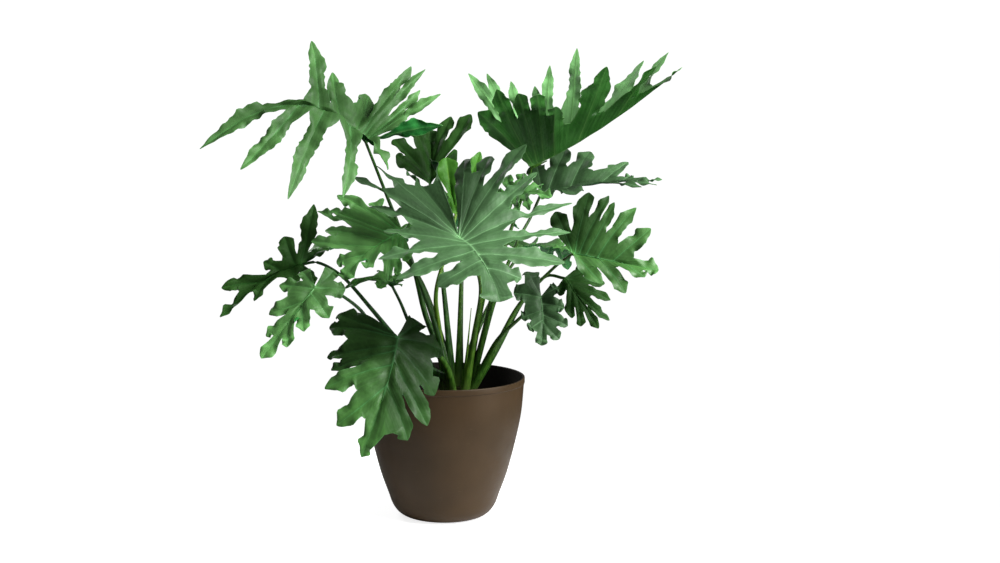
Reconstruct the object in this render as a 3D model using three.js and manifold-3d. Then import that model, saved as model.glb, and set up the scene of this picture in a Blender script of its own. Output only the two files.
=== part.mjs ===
// A split-leaf philodendron in a plain tapered pot.
// Millimetres, +Z up, front toward -Y. The origin is the middle of the pot's underside.
import * as THREE from 'three';
import { mergeVertices } from 'three/addons/utils/BufferGeometryUtils.js';
import Module from 'manifold-3d';

const wasm = await Module();
wasm.setup();

// Clear space left between neighbouring pieces
const gap = 0.3;

// Pot
const potHeight = 260;
const potRimRadius = 150;
const potFootRadius = 66;
const potHeelControl = 92;
const potSide = [[102, 36], [121, 91], [142, 182], [148.8, 249]];
const potWall = 3.5;
const potFloor = 4;
const lipHeight = 11;
const lipStep = 1.2;
const lipRound = 1.6;
const lipExtra = 1;
const heelSteps = 3;
const sideSteps = 5;
const potSegments = 44;

// Soil
const soilLevel = 209;
const soilRise = 4;
const soilShoulder = [0.6, 0.8];

// Crown, the short trunk that the stalks grow from
const crownX = 25;
const crownRadius = 29;
const crownBottom = 130;
const crownTop = 236;
const crownShoulderRise = 6;
const crownTaper = [0.85, 0.5];
const crownSegments = 20;

// Stalks
const stalkSides = 5;
const stalkStep = 50;
const stalkBaseZ = 217;
const stalkBaseRing = 20;
const stalkBaseRadius = 8.2;
const stalkEndRadius = 2.8;
const stalkTaper = 1.6;
const stalkBackStep = 0.4;

// New shoot
const shoot = [[34, -8, stalkBaseZ], [42, -12, 300], [50, -14, 388]];
const shootBaseRadius = 6;
const shootTipRadius = 0.8;

// Blades
const bladeThickness = 1.1;
const joinedRows = [0.4, 1];
const longLobeRows = [0.14, 0.38, 0.63, 0.85];
const shortLobeRows = [0.18, 0.5, 0.8];
const shortLobe = 48;
const notchLength = 0.22;
const roomShare = 0.42;
const nearSteps = 20;
const outerLead = 0.02;
const outerStart = 0.25;
const stationGap = 0.05;
const ribLean = 0.4;
const ribSway = 0.05;
const swayStep = 2.4;

// Outline and ruffle of a lobe
const lobeBase = 0.74;
const lobeBulge = 0.4;
const lobeBulgePlace = 1.15;
const lobeTaper = 0.66;
const toothDepth = 0.17;
const teethPerLobe = 1.6;
const wavesPerLobe = 1.3;
const phaseStep = 0.62;

// Each blade has its joint with the stalk, the middle and the tip of its midrib, the way its
// upper side faces, the share of a lobe's length that is joined to its neighbours, the place
// on the midrib where the end lobe starts with that lobe's width, the height of its ruffle and
// how blunt its lobes are.
// A lobe is [place on the midrib, tip x, y, z, width, arch] and may add the share of its length
// that is joined to the next one. They are listed from the stalk toward the tip, on the left
// and right as seen from above with the tip pointing away.
// Its stalk runs through the points given, from the crown to the joint.
const blades = [
  {
    name: 'blade_front_centre',
    joint: [26, -130, 525], middle: [64, -190, 492], tip: [93, -250, 428],
    facing: [0, -0.7, 0.7], web: 0.4, endFrom: 0.68, endWidth: 66, ruffle: 4, blunt: 4,
    left: [
      [0, 38, -15, 660, 40, 10, 0.8],
      [0, 85, -10, 666, 46, 12, 0.6],
      [0.02, 150, 0, 687, 38, 14, 0.55],
      [0.06, 168, -30, 637, 28, 12, 0.5],
      [0.12, 228, -75, 583, 18, 12, 0.36],
      [0.22, 221, -115, 535, 25, 12, 0.33],
      [0.4, 206, -170, 485, 46, 10, 0.5],
      [0.62, 130, -215, 463, 32, 4, 0.8],
    ],
    right: [
      [0, -26, -5, 660, 26, 8, 0.72],
      [0, -68, -20, 637, 42, 10, 0.75],
      [0.02, -122, -45, 648, 28, 10, 0.72],
      [0.04, -162, -65, 629, 42, 12, 0.68],
      [0.08, -132, -90, 577, 26, 10, 0.65],
      [0.14, -106, -120, 536, 22, 8, 0.55],
      [0.22, -113, -160, 491, 26, 10, 0.4],
      [0.34, -81, -190, 458, 30, 10, 0.3],
      [0.5, -11, -210, 449, 42, 8, 0.5],
    ],
    stalk: [[55, -42, 340], [66, -70, 430], [48, -112, 490]],
  },
  {
    name: 'blade_upper_left',
    joint: [-140, -40, 692], middle: [-266, -80, 756], tip: [-422, -130, 679],
    facing: [-0.2, -0.75, 0.6], web: 0.12, endFrom: 0.5, endWidth: 29, ruffle: 6, blunt: 3,
    left: [
      [0, -2, -60, 720, 28, 10, 0.3],
      [0.03, -98, -110, 643, 25, 14, 0.2],
      [0.12, -174, -150, 596, 26, 18, 0.1],
      [0.3, -266, -170, 594, 30, 22, 0.1],
      [0.46, -349, -150, 644, 29, 18, 0.16],
    ],
    right: [
      [0, -6, 0, 778, 18, 8, 0.55],
      [0.01, -44, 20, 786, 16, 8, 0.42],
      [0.03, -35, 50, 825, 16, 10, 0.5],
      [0.05, -61, 60, 831, 26, 10, 0.3],
      [0.08, -141, 50, 776, 44, 8, 0.4],
      [0.2, -204, 20, 818, 30, 6, 0.12],
      [0.34, -240, 0, 873, 31, 6, 0.1],
    ],
    stalk: [[-8, 8, 300], [-35, 14, 375], [-55, 22, 455], [-80, 32, 525], [-112, 18, 610]],
  },
  {
    name: 'blade_back_left',
    joint: [-27, 115, 612], middle: [-24, 150, 660], tip: [-28, 190, 716],
    facing: [0, -0.67, 0.74], web: 0.5, endFrom: 0.4, endWidth: 30, ruffle: 4, blunt: 4,
    left: [
      [0, -92, 120, 667, 40, 6, 0.8],
      [0.08, -98, 140, 697, 40, 8, 0.55],
      [0.3, -62, 165, 731, 36, 6, 0.6],
    ],
    right: [
      [0, 25, 120, 676, 40, 6, 0.6],
      [0.08, 52, 150, 745, 52, 8, 0.6],
      [0.3, 14, 170, 741, 30, 6, 0.6],
    ],
    stalk: [[8, 35, 330], [-8, 68, 480]],
  },
  {
    name: 'blade_upper_right',
    joint: [164, 70, 645], middle: [293, 60, 716], tip: [441, 50, 829],
    facing: [-0.57, 0, 0.82], web: 0.35, endFrom: 0.82, endWidth: 32, ruffle: 4, blunt: 3,
    left: [
      [0, 46, 110, 821, 24, 6, 0.6],
      [0.01, 82, 130, 822, 20, 6, 0.6],
      [0.04, 129, 150, 808, 20, 6, 0.6],
      [0.08, 176, 160, 799, 22, 6, 0.5],
      [0.15, 205, 160, 839, 22, 8, 0.4],
      [0.28, 257, 160, 872, 26, 8, 0.3],
      [0.48, 381, 125, 846, 34, 8, 0.35],
      [0.72, 422, 90, 859, 20, 6, 0.4],
    ],
    right: [
      [0, 62, 20, 746, 44, 6, 0.7],
      [0.02, 96, 5, 787, 32, 6, 0.65],
      [0.05, 134, -5, 779, 32, 6, 0.75],
      [0.1, 168, -20, 777, 50, 6, 0.8],
      [0.18, 202, -20, 755, 38, 6, 0.45],
      [0.34, 294, -10, 827, 54, 8, 0.3],
      [0.6, 387, 10, 830, 34, 6, 0.4],
    ],
    stalk: [[78, 22, 350], [103, 60, 455], [138, 98, 555], [158, 90, 615]],
  },
  {
    name: 'blade_right_high',
    joint: [183, 75, 596], middle: [293, 62, 613], tip: [406, 40, 621],
    facing: [-0.1, -0.25, 1], web: 0.45, endFrom: 0.76, endWidth: 18, ruffle: 5, blunt: 4,
    left: [
      [0, 177, 120, 648, 42, 6, 0.7],
      [0.06, 236, 140, 679, 38, 6, 0.5],
      [0.25, 282, 140, 673, 42, 6, 0.4],
      [0.5, 352, 118, 653, 34, 6, 0.5],
      [0.68, 356, 80, 627, 16, 4, 0.5],
    ],
    right: [
      [0, 194, 30, 587, 30, 6, 0.5],
      [0.2, 242, 5, 595, 42, 6, 0.6],
      [0.5, 363, 5, 609, 17, 6, 0.3],
      [0.68, 393, 20, 612, 12, 4, 0.36],
    ],
    stalk: [[90, 8, 390], [134, 34, 500], [162, 58, 550]],
  },
  {
    name: 'blade_right',
    joint: [230, -60, 493], middle: [302, -88, 480], tip: [377, -112, 467],
    facing: [0, -0.7, 0.7], web: 0.5, endFrom: 0.64, endWidth: 38, ruffle: 5, blunt: 4,
    left: [
      [0, 201, -30, 566, 36, 6, 0.5],
      [0.03, 262, -34, 601, 42, 8, 0.6],
      [0.08, 297, -42, 596, 20, 8, 0.6],
      [0.16, 306, -50, 584, 20, 8, 0.45],
      [0.3, 344, -60, 575, 26, 8, 0.4],
      [0.48, 367, -82, 539, 32, 6, 0.5],
    ],
    right: [
      [0, 194, -80, 504, 28, 6, 0.5],
      [0.04, 277, -118, 444, 30, 6, 0.42],
      [0.32, 317, -132, 429, 34, 6, 0.4],
      [0.58, 350, -132, 457, 26, 4, 0.7],
    ],
    stalk: [[100, -14, 325], [140, -28, 400], [198, -44, 465]],
  },
  {
    name: 'blade_right_low',
    joint: [171, -105, 418], middle: [173, -130, 382], tip: [169, -145, 339],
    facing: [0, -0.95, 0.3], web: 0.65, endFrom: 0.6, endWidth: 28, ruffle: 4, blunt: 3,
    left: [
      [0, 201, -108, 437, 38, 4, 0.7],
      [0.15, 211, -128, 403, 32, 4, 0.7],
      [0.4, 216, -138, 372, 22, 4, 0.7],
      [0.55, 200, -145, 350, 26, 3, 0.65],
    ],
    right: [
      [0, 149, -85, 461, 38, 4, 0.85],
      [0.02, 123, -100, 425, 38, 5, 0.75],
      [0.3, 136, -122, 384, 26, 4, 0.75],
      [0.5, 149, -135, 365, 18, 3, 0.75],
    ],
    stalk: [[80, -22, 298], [102, -48, 340], [138, -76, 380]],
  },
  {
    name: 'blade_right_under',
    joint: [220, -30, 445], middle: [246, -52, 408], tip: [278, -70, 358],
    facing: [-0.2, -0.85, 0.4], web: 0.45, endFrom: 0.5, endWidth: 20, ruffle: 4, blunt: 3.5,
    left: [
      [0, 270, -10, 458, 24, 4, 0.6],
      [0.05, 294, -15, 433, 24, 4, 0.5],
      [0.15, 303, -35, 405, 20, 5, 0.45],
      [0.35, 298, -55, 370, 18, 5, 0.35],
    ],
    right: [
      [0, 210, -45, 414, 20, 4, 0.45],
      [0.25, 230, -66, 376, 22, 4, 0.55],
      [0.4, 246, -72, 362, 26, 4, 0.5],
    ],
    stalk: [[98, 0, 310], [145, -6, 400], [185, -14, 446]],
  },
  {
    name: 'blade_left',
    joint: [-262, 0, 468], middle: [-334, -15, 435], tip: [-407, -40, 374],
    facing: [-0.1, -0.6, 0.8], web: 0.4, endFrom: 0.6, endWidth: 18, ruffle: 5, blunt: 3,
    left: [
      [0, -238, -20, 430, 28, 4, 0.4],
      [0.12, -270, -32, 432, 26, 4, 0.5],
      [0.4, -345, -40, 404, 16, 4, 0.55],
    ],
    right: [
      [0, -213, 35, 494, 24, 6, 0.4],
      [0.02, -242, 35, 577, 30, 8, 0.35],
      [0.08, -295, 15, 518, 38, 6, 0.5],
      [0.25, -332, -5, 472, 22, 6, 0.3],
      [0.5, -406, -30, 427, 28, 6, 0.5],
    ],
    stalk: [[-8, 2, 252], [-48, 4, 283], [-90, 6, 330], [-135, 6, 385], [-185, 5, 442], [-230, 2, 470]],
  },
  {
    name: 'blade_left_low',
    joint: [-227, -110, 438], middle: [-265, -135, 386], tip: [-318, -152, 317],
    facing: [0, -0.9, 0.45], web: 0.55, endFrom: 0.6, endWidth: 36, ruffle: 5, blunt: 2.8,
    left: [
      [0, -196, -85, 463, 42, 4, 0.8],
      [0.02, -175, -95, 431, 42, 4, 0.5],
      [0.12, -200, -140, 386, 32, 4, 0.5],
      [0.3, -242, -158, 365, 30, 4, 0.45],
      [0.56, -272, -160, 338, 26, 3, 0.65],
    ],
    right: [
      [0, -252, -88, 463, 36, 4, 0.6],
      [0.05, -291, -96, 438, 28, 4, 0.6],
      [0.25, -307, -122, 390, 30, 5, 0.42],
      [0.52, -310, -138, 355, 22, 4, 0.7],
    ],
    stalk: [[0, -30, 262], [-80, -36, 302], [-122, -52, 345], [-150, -70, 392], [-195, -96, 429]],
  },
  {
    name: 'blade_front_low',
    joint: [-79, -175, 358], middle: [-98, -225, 279], tip: [-139, -245, 164],
    facing: [-0.1, -0.85, 0.5], web: 0.6, endFrom: 0.62, endWidth: 26, ruffle: 7, blunt: 2.6,
    left: [
      [0, -42, -130, 377, 42, 10, 0.7],
      [0.02, -4, -142, 330, 50, 14, 0.75],
      [0.12, -16, -196, 260, 44, 15, 0.65],
      [0.25, -28, -226, 214, 44, 14, 0.45],
      [0.48, -61, -240, 192, 38, 7, 0.75],
    ],
    right: [
      [0, -185, -112, 389, 38, 10, 0.85],
      [0.02, -201, -124, 366, 38, 12, 0.7],
      [0.1, -202, -160, 320, 28, 14, 0.8],
      [0.16, -194, -176, 300, 26, 14, 0.45],
      [0.3, -202, -212, 275, 40, 15, 0.55],
      [0.48, -181, -236, 217, 42, 10, 0.55],
    ],
    stalk: [[4, -48, 285], [-40, -102, 345], [-64, -148, 366]],
  },
  {
    name: 'blade_left_centre',
    joint: [-76, -50, 531], middle: [-132, -78, 497], tip: [-180, -92, 449],
    facing: [0, -0.7, 0.7], web: 0.7, endFrom: 0.6, endWidth: 34, ruffle: 6, blunt: 3,
    left: [
      [0, -68, -85, 480, 28, 4, 0.65],
      [0.06, -83, -98, 458, 26, 4, 0.8],
      [0.14, -99, -108, 448, 26, 4, 0.55],
      [0.36, -137, -108, 470, 26, 3, 0.6],
    ],
    right: [
      [0, -133, -5, 582, 32, 5, 0.8],
      [0.03, -196, 5, 594, 34, 6, 0.75],
      [0.1, -208, -6, 567, 28, 6, 0.8],
      [0.16, -231, -16, 566, 14, 6, 0.6],
      [0.26, -216, -38, 533, 26, 5, 0.7],
      [0.4, -239, -54, 514, 28, 6, 0.6],
      [0.56, -192, -76, 477, 28, 3, 0.75],
    ],
    stalk: [[-6, -18, 318], [-32, -28, 405], [-58, -40, 475]],
  },
  {
    name: 'blade_young',
    joint: [22, 50, 557], middle: [12, 62, 608], tip: [4, 75, 662],
    facing: [0, -0.9, 0.4], web: 0.5, endFrom: 0.34, endWidth: 46, ruffle: 3, blunt: 4,
    left: [
      [0, -20, 50, 590, 30, 4, 0.5],
    ],
    right: [
      [0, 62, 60, 600, 30, 4, 0.5],
      [0.1, 68, 82, 673, 32, 5, 0.4],
    ],
    stalk: [[-8, -10, 340], [-14, -8, 420], [12, 28, 510]],
  },
  {
    name: 'blade_right_inner',
    joint: [126, 40, 583], middle: [160, 22, 598], tip: [196, -8, 590],
    facing: [0, -0.6, 0.8], web: 0.4, endFrom: 0.5, endWidth: 22, ruffle: 4, blunt: 4,
    left: [
      [0, 100, 60, 600, 24, 4, 0.6],
      [0.03, 120, 70, 627, 28, 5, 0.6],
      [0.2, 150, 64, 633, 24, 5, 0.5],
      [0.4, 184, 40, 612, 20, 4, 0.5],
    ],
    right: [
      [0, 118, 15, 560, 18, 5, 0.4],
      [0.15, 137, 2, 563, 16, 6, 0.3],
      [0.35, 157, -8, 567, 16, 6, 0.3],
    ],
    stalk: [[60, 16, 340], [92, 26, 480]],
  },
  {
    name: 'blade_left_inner',
    joint: [-95, 20, 425], middle: [-135, 5, 438], tip: [-182, -15, 424],
    facing: [0, -0.5, 0.85], web: 0.5, endFrom: 0.5, endWidth: 14, ruffle: 3, blunt: 4,
    left: [
      [0, -82, -15, 432, 18, 3, 0.5],
      [0.2, -122, -22, 426, 20, 4, 0.5],
    ],
    right: [
      [0, -80, 50, 445, 22, 4, 0.5],
      [0.15, -122, 42, 452, 22, 5, 0.5],
    ],
    stalk: [[-16, 12, 262], [-58, 18, 340], [-80, 20, 392]],
  },
  {
    name: 'blade_rear_left',
    joint: [-110, 150, 500], middle: [-165, 210, 515], tip: [-235, 290, 470],
    facing: [-0.2, 0.3, 0.95], web: 0.42, endFrom: 0.62, endWidth: 34, ruffle: 4, blunt: 3.5,
    left: [
      [0, -150, 95, 520, 40, 6],
      [0.06, -205, 110, 500, 40, 10],
      [0.2, -250, 150, 480, 36, 12],
      [0.4, -275, 200, 470, 34, 12],
      [0.54, -275, 250, 465, 28, 8],
    ],
    right: [
      [0, -55, 150, 525, 40, 6],
      [0.06, -45, 200, 515, 40, 10],
      [0.2, -75, 250, 490, 36, 12],
      [0.4, -120, 290, 470, 34, 12],
      [0.54, -175, 305, 465, 28, 8],
    ],
    stalk: [[2, 30, 300], [-40, 80, 420], [-85, 125, 478]],
  },
  {
    name: 'blade_rear_centre',
    joint: [40, 180, 560], middle: [55, 260, 565], tip: [65, 360, 500],
    facing: [0.05, 0.35, 0.93], web: 0.42, endFrom: 0.62, endWidth: 38, ruffle: 4, blunt: 3.5,
    left: [
      [0, -15, 160, 590, 42, 6],
      [0.06, -50, 215, 570, 42, 12],
      [0.22, -55, 275, 540, 38, 14],
      [0.4, -35, 325, 510, 36, 12],
      [0.54, 10, 355, 500, 30, 8],
    ],
    right: [
      [0, 95, 160, 590, 42, 6],
      [0.06, 140, 205, 570, 42, 12],
      [0.22, 160, 265, 540, 38, 14],
      [0.4, 155, 320, 510, 36, 12],
      [0.54, 115, 350, 500, 30, 8],
    ],
    stalk: [[30, 40, 330], [34, 90, 450], [38, 150, 540]],
  },
  {
    name: 'blade_rear_right',
    joint: [160, 140, 480], middle: [225, 190, 485], tip: [305, 250, 430],
    facing: [0.2, 0.3, 0.95], web: 0.42, endFrom: 0.62, endWidth: 34, ruffle: 4, blunt: 3.5,
    left: [
      [0, 110, 160, 500, 40, 6],
      [0.06, 120, 215, 490, 40, 10],
      [0.22, 160, 255, 465, 36, 12],
      [0.4, 205, 280, 440, 34, 12],
      [0.54, 255, 280, 430, 28, 8],
    ],
    right: [
      [0, 175, 85, 500, 40, 6],
      [0.06, 230, 90, 495, 40, 10],
      [0.22, 275, 125, 470, 36, 12],
      [0.4, 305, 160, 450, 34, 12],
      [0.54, 325, 205, 440, 28, 8],
    ],
    stalk: [[52, 30, 310], [95, 75, 400], [135, 118, 460]],
  },
];

const point = (list) => new THREE.Vector3(list[0], list[1], list[2]);

const smooth = (low, high, value) => THREE.MathUtils.smoothstep(value, low, high);

// Quadratic Bezier point
function bend(start, control, end, t) {
  return start.clone().multiplyScalar((1 - t) ** 2)
    .addScaledVector(control, 2 * t * (1 - t))
    .addScaledVector(end, t * t);
}

// A midrib passes through its middle point half-way along
function makeMidrib(blade) {
  const start = point(blade.joint);
  const end = point(blade.tip);
  const control = point(blade.middle).multiplyScalar(2)
    .addScaledVector(start, -0.5)
    .addScaledVector(end, -0.5);
  const facing = point(blade.facing).normalize();
  const at = (t) => bend(start, control, end, t);
  const along = (t) => at(t + 0.01).sub(at(t - 0.01)).normalize();
  const up = (t) => {
    const tangent = along(t);
    return facing.clone().addScaledVector(tangent, -facing.dot(tangent)).normalize();
  };
  return { at, along, up };
}

// A rib runs from the midrib to a lobe's tip, arched toward the upper side and swayed a little
function makeRib(midrib, lobe, side, index) {
  const [place, x, y, z, width, arch, notch] = lobe;
  const start = midrib.at(place);
  const end = new THREE.Vector3(x, y, z);
  const run = end.clone().sub(start).normalize();
  const first = midrib.along(place).cross(run).multiplyScalar(side)
    .addScaledVector(midrib.up(place), ribLean)
    .normalize();
  const length = start.distanceTo(end);
  const sway = ribSway * length * Math.sin(swayStep * index + side);
  const control = start.clone().add(end).multiplyScalar(0.5)
    .addScaledVector(first, arch)
    .addScaledVector(run.cross(first), sway);
  const at = (s) => bend(start, control, end, s);
  return { place, width, notch, at, first, length };
}

// The end lobe's rib is the last stretch of the midrib
function makeEndRib(midrib, blade) {
  const span = 1 - blade.endFrom;
  const at = (s) => midrib.at(blade.endFrom + s * span);
  const first = midrib.up(blade.endFrom);
  return { place: blade.endFrom, width: blade.endWidth, at, first, length: at(0).distanceTo(at(1)) };
}

// Directions across a rib: the upper side, and the way round toward the next lobe
function ribFrame(rib, s) {
  const tangent = rib.at(s + 0.01).sub(rib.at(s - 0.01)).normalize();
  const up = rib.first.clone().addScaledVector(tangent, -rib.first.dot(tangent)).normalize();
  const onward = tangent.clone().cross(up);
  return { up, onward };
}

// Half the width of a lobe's free part, from its notch (0) to its tip (1), with its teeth
function lobeProfile(u, phase, blunt) {
  const body = lobeBase + lobeBulge * Math.sin(Math.PI * u ** lobeBulgePlace);
  const taper = (1 - u ** blunt) ** lobeTaper;
  const teeth = 1 + toothDepth * Math.sin(2 * Math.PI * (teethPerLobe * u + phase));
  return 0.5 * body * taper * teeth;
}

// Nearest distance from a point to another rib
function distanceToRib(place, rib) {
  let nearest = Infinity;
  for (let step = 1; step <= nearSteps; step += 1) {
    nearest = Math.min(nearest, rib.at(step / nearSteps).distanceTo(place));
  }
  return nearest;
}

// A blade as one sheet: an array of points and an array of triangles, upper side outward
function makeSheet(blade) {
  const midrib = makeMidrib(blade);
  const leftRibs = blade.left.map((lobe, index) => makeRib(midrib, lobe, 1, index));
  const rightRibs = blade.right.map((lobe, index) => makeRib(midrib, lobe, -1, index));
  const ribs = [...leftRibs, makeEndRib(midrib, blade), ...rightRibs.reverse()];
  const last = ribs.length - 1;
  const endIndex = leftRibs.length;
  const points = [];
  const faces = [];
  const addPoint = (p) => points.push(p) - 1;

  // Going round the blade, places on the right count on past the end lobe
  const roundPlace = (index) =>
    (index <= endIndex ? ribs[index].place : 2 * blade.endFrom - ribs[index].place);
  const midribAt = (place) => midrib.at(place <= blade.endFrom ? place : 2 * blade.endFrom - place);

  // How far along its length a lobe is joined to the next (way 1) or the one before (way -1).
  // Neighbours are joined to the same distance, which is a smaller share of the longer one.
  const joinedShare = (index, way) => {
    const seam = way > 0 ? index : index - 1;
    const nearer = seam < endIndex ? ribs[seam] : ribs[seam + 1];
    const other = ribs[index + way] ?? ribs[index];
    return (nearer?.notch ?? blade.web) * Math.min(1, other.length / ribs[index].length);
  };

  // Shared line between neighbouring lobes, from the midrib (0) out to their notch (1)
  const seamAt = (index, share) => {
    const a = ribs[index];
    const b = ribs[index + 1];
    const mean = midribAt(0.5 * (roundPlace(index) + roundPlace(index + 1)));
    const base = a.at(0).add(b.at(0)).multiplyScalar(0.5);
    return a.at(share * joinedShare(index, 1))
      .add(b.at(share * joinedShare(index + 1, -1)))
      .multiplyScalar(0.5)
      .addScaledVector(mean.sub(base), 1 - share);
  };

  // Margin of a lobe at a place along its rib; u runs over its free part
  const marginAt = (index, s, u, way) => {
    const rib = ribs[index];
    const centre = rib.at(s);
    const frame = ribFrame(rib, s);
    const phase = phaseStep * index + (way > 0 ? 0.5 : 0);
    const neighbour = index + way;
    const isOuter = neighbour < 0 || neighbour > last;
    const room = roomShare * distanceToRib(centre, isOuter ? ribs[last - index] : ribs[neighbour]);
    const grow = isOuter ? outerStart + (1 - outerStart) * smooth(0, blade.web, s) : 1;
    const half = Math.min(rib.width * lobeProfile(u, phase, blade.blunt) * grow, room);
    const swing = Math.sin(2 * Math.PI * (wavesPerLobe * u + phase));
    const wave = blade.ruffle * smooth(0, 0.3, u) * swing;
    const free = frame.onward.multiplyScalar(way * half).addScaledVector(frame.up, wave);
    if (isOuter) {
      return centre.add(free);
    }
    const joined = joinedShare(index, way);
    const notch = seamAt(Math.min(index, neighbour), 1).sub(rib.at(joined));
    return centre.add(notch.lerp(free, smooth(0, notchLength, u)));
  };

  // Rows of three points on each lobe, the middle one on its rib
  const seams = ribs.map(() => []);
  const firstPoints = [];
  ribs.forEach((rib, index) => {
    const shares = [-1, 1].map((way) => joinedShare(index, way));
    const middleShare = 0.5 * (shares[0] + shares[1]);
    const rows = joinedRows.map((share) => [
      index > 0 ? seams[index - 1][joinedRows.indexOf(share)]
        : addPoint(marginAt(index, share * shares[0], 0, -1)),
      addPoint(rib.at(share * middleShare)),
      addPoint(index < last ? seamAt(index, share) : marginAt(index, share * shares[1], 0, 1)),
    ]);
    seams[index] = rows.map((row) => row[2]);
    const freeLength = rib.at(middleShare).distanceTo(rib.at(1));
    const freeRows = freeLength < shortLobe ? shortLobeRows : longLobeRows;
    freeRows.forEach((u) => {
      const [before, centre, after] = [shares[0], middleShare, shares[1]]
        .map((share) => share + u * (1 - share));
      rows.push([
        addPoint(marginAt(index, before, u, -1)),
        addPoint(rib.at(centre)),
        addPoint(marginAt(index, after, u, 1)),
      ]);
    });
    for (let i = 1; i < rows.length; i += 1) {
      const [a, b] = [rows[i - 1], rows[i]];
      faces.push([a[0], b[0], b[1]], [a[0], b[1], a[1]], [a[1], b[1], b[2]], [a[1], b[2], a[2]]);
    }
    const tip = addPoint(rib.at(1));
    const outermost = rows[rows.length - 1];
    faces.push([outermost[0], tip, outermost[1]], [outermost[1], tip, outermost[2]]);

    const place = roundPlace(index);
    const next = index < last ? 0.5 * (place + roundPlace(index + 1)) : place + outerLead;
    if (index === 0) {
      firstPoints.push([place - outerLead, rows[0][0]]);
    }
    firstPoints.push([place, rows[0][1]], [next, rows[0][2]]);
  });

  // The midrib, out to the end lobe and back, closes the middle of the sheet
  const stations = [0, blade.endFrom];
  ribs.forEach((rib) => {
    if (stations.every((place) => Math.abs(place - rib.place) > stationGap)) {
      stations.push(rib.place);
    }
  });
  stations.sort((a, b) => a - b);
  const outward = stations.map((place) => [place, addPoint(midrib.at(place))]);
  const homeward = outward.slice(0, -1).reverse()
    .map(([place, index]) => [2 * blade.endFrom - place, index]);
  const middle = [...outward, ...homeward];
  let a = 0;
  let b = 0;
  while (a < middle.length - 1 || b < firstPoints.length - 1) {
    const canMiddle = a < middle.length - 1;
    const canFirst = b < firstPoints.length - 1;
    if (canMiddle && (!canFirst || middle[a + 1][0] < firstPoints[b + 1][0])) {
      faces.push([middle[a][1], firstPoints[b][1], middle[a + 1][1]]);
      a += 1;
    } else {
      faces.push([middle[a][1], firstPoints[b][1], firstPoints[b + 1][1]]);
      b += 1;
    }
  }
  return { points, faces };
}

// A sheet given thickness, split alike on both sides and walled round its edge
function thicken(sheet, thickness) {
  const { points, faces } = sheet;
  const count = points.length;
  const normals = points.map(() => new THREE.Vector3());
  const edges = new Map();
  faces.forEach(([a, b, c]) => {
    const normal = points[b].clone().sub(points[a]).cross(points[c].clone().sub(points[a]));
    [a, b, c].forEach((index) => normals[index].add(normal));
    [[a, b], [b, c], [c, a]].forEach(([from, to]) => edges.set(`${from} ${to}`, [from, to]));
  });
  const position = [];
  [0.5, -0.5].forEach((share) => points.forEach((p, index) => {
    const moved = p.clone().addScaledVector(normals[index].normalize(), share * thickness);
    position.push(moved.x, moved.y, moved.z);
  }));
  const triangles = [];
  faces.forEach(([a, b, c]) => triangles.push(a, b, c, c + count, b + count, a + count));
  edges.forEach(([from, to]) => {
    if (!edges.has(`${to} ${from}`)) {
      triangles.push(to, from, from + count, to, from + count, to + count);
    }
  });
  const geometry = new THREE.BufferGeometry();
  geometry.setAttribute('position', new THREE.Float32BufferAttribute(position, 3));
  geometry.setIndex(triangles);
  return geometry;
}

// Smooth path through points, as a list of evenly spaced places on it
function smoothPath(list, step) {
  const path = new THREE.CatmullRomCurve3(list, false, 'catmullrom', 0.5);
  return path.getSpacedPoints(Math.ceil(path.getLength() / step));
}

// Round stalk along a path, thinner toward its end, closed by flat ends
function makeStalk(path, baseRadius, endRadius, sides) {
  const position = [];
  const triangles = [];
  const last = path.length - 1;
  let normal = new THREE.Vector3(1, 0, 0);
  path.forEach((place, i) => {
    const tangent = path[Math.min(i + 1, last)].clone().sub(path[Math.max(i - 1, 0)]).normalize();
    normal = normal.clone().addScaledVector(tangent, -normal.dot(tangent)).normalize();
    const side = tangent.clone().cross(normal);
    const radius = endRadius + (baseRadius - endRadius) * (1 - i / last) ** stalkTaper;
    for (let k = 0; k < sides; k += 1) {
      const angle = 2 * Math.PI * k / sides;
      const p = place.clone()
        .addScaledVector(normal, radius * Math.cos(angle))
        .addScaledVector(side, radius * Math.sin(angle));
      position.push(p.x, p.y, p.z);
    }
  });
  for (let i = 0; i < last; i += 1) {
    for (let k = 0; k < sides; k += 1) {
      const a = i * sides + k;
      const b = i * sides + (k + 1) % sides;
      triangles.push(a, b, b + sides, a, b + sides, a + sides);
    }
  }
  for (let k = 1; k < sides - 1; k += 1) {
    const top = last * sides;
    triangles.push(0, k + 1, k, top, top + k, top + k + 1);
  }
  const geometry = new THREE.BufferGeometry();
  geometry.setAttribute('position', new THREE.Float32BufferAttribute(position, 3));
  geometry.setIndex(triangles);
  return geometry;
}

// Closed solid from a mesh, and mesh from a solid
function toSolid(geometry) {
  const bare = geometry.clone();
  bare.deleteAttribute('normal');
  bare.deleteAttribute('uv');
  const merged = mergeVertices(bare, 1e-4);
  return new wasm.Manifold(new wasm.Mesh({
    numProp: 3,
    vertProperties: new Float32Array(merged.attributes.position.array),
    triVerts: new Uint32Array(merged.index.array),
  }));
}

function toGeometry(solid) {
  const mesh = solid.getMesh();
  const geometry = new THREE.BufferGeometry();
  geometry.setAttribute('position', new THREE.BufferAttribute(mesh.vertProperties, mesh.numProp));
  geometry.setIndex(new THREE.BufferAttribute(mesh.triVerts, 1));
  geometry.computeVertexNormals();
  return geometry;
}

// Round body from its outline, as pairs of radius and height
const turn = (profile, segments) => {
  const outline = profile.map(([radius, height]) => new THREE.Vector2(radius, height));
  return new THREE.LatheGeometry(outline, segments).rotateX(Math.PI / 2);
};

// Outside of the pot's side, from the heel to under the lip
const sideCurve = new THREE.SplineCurve(potSide.map((place) => new THREE.Vector2(...place)));

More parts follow.
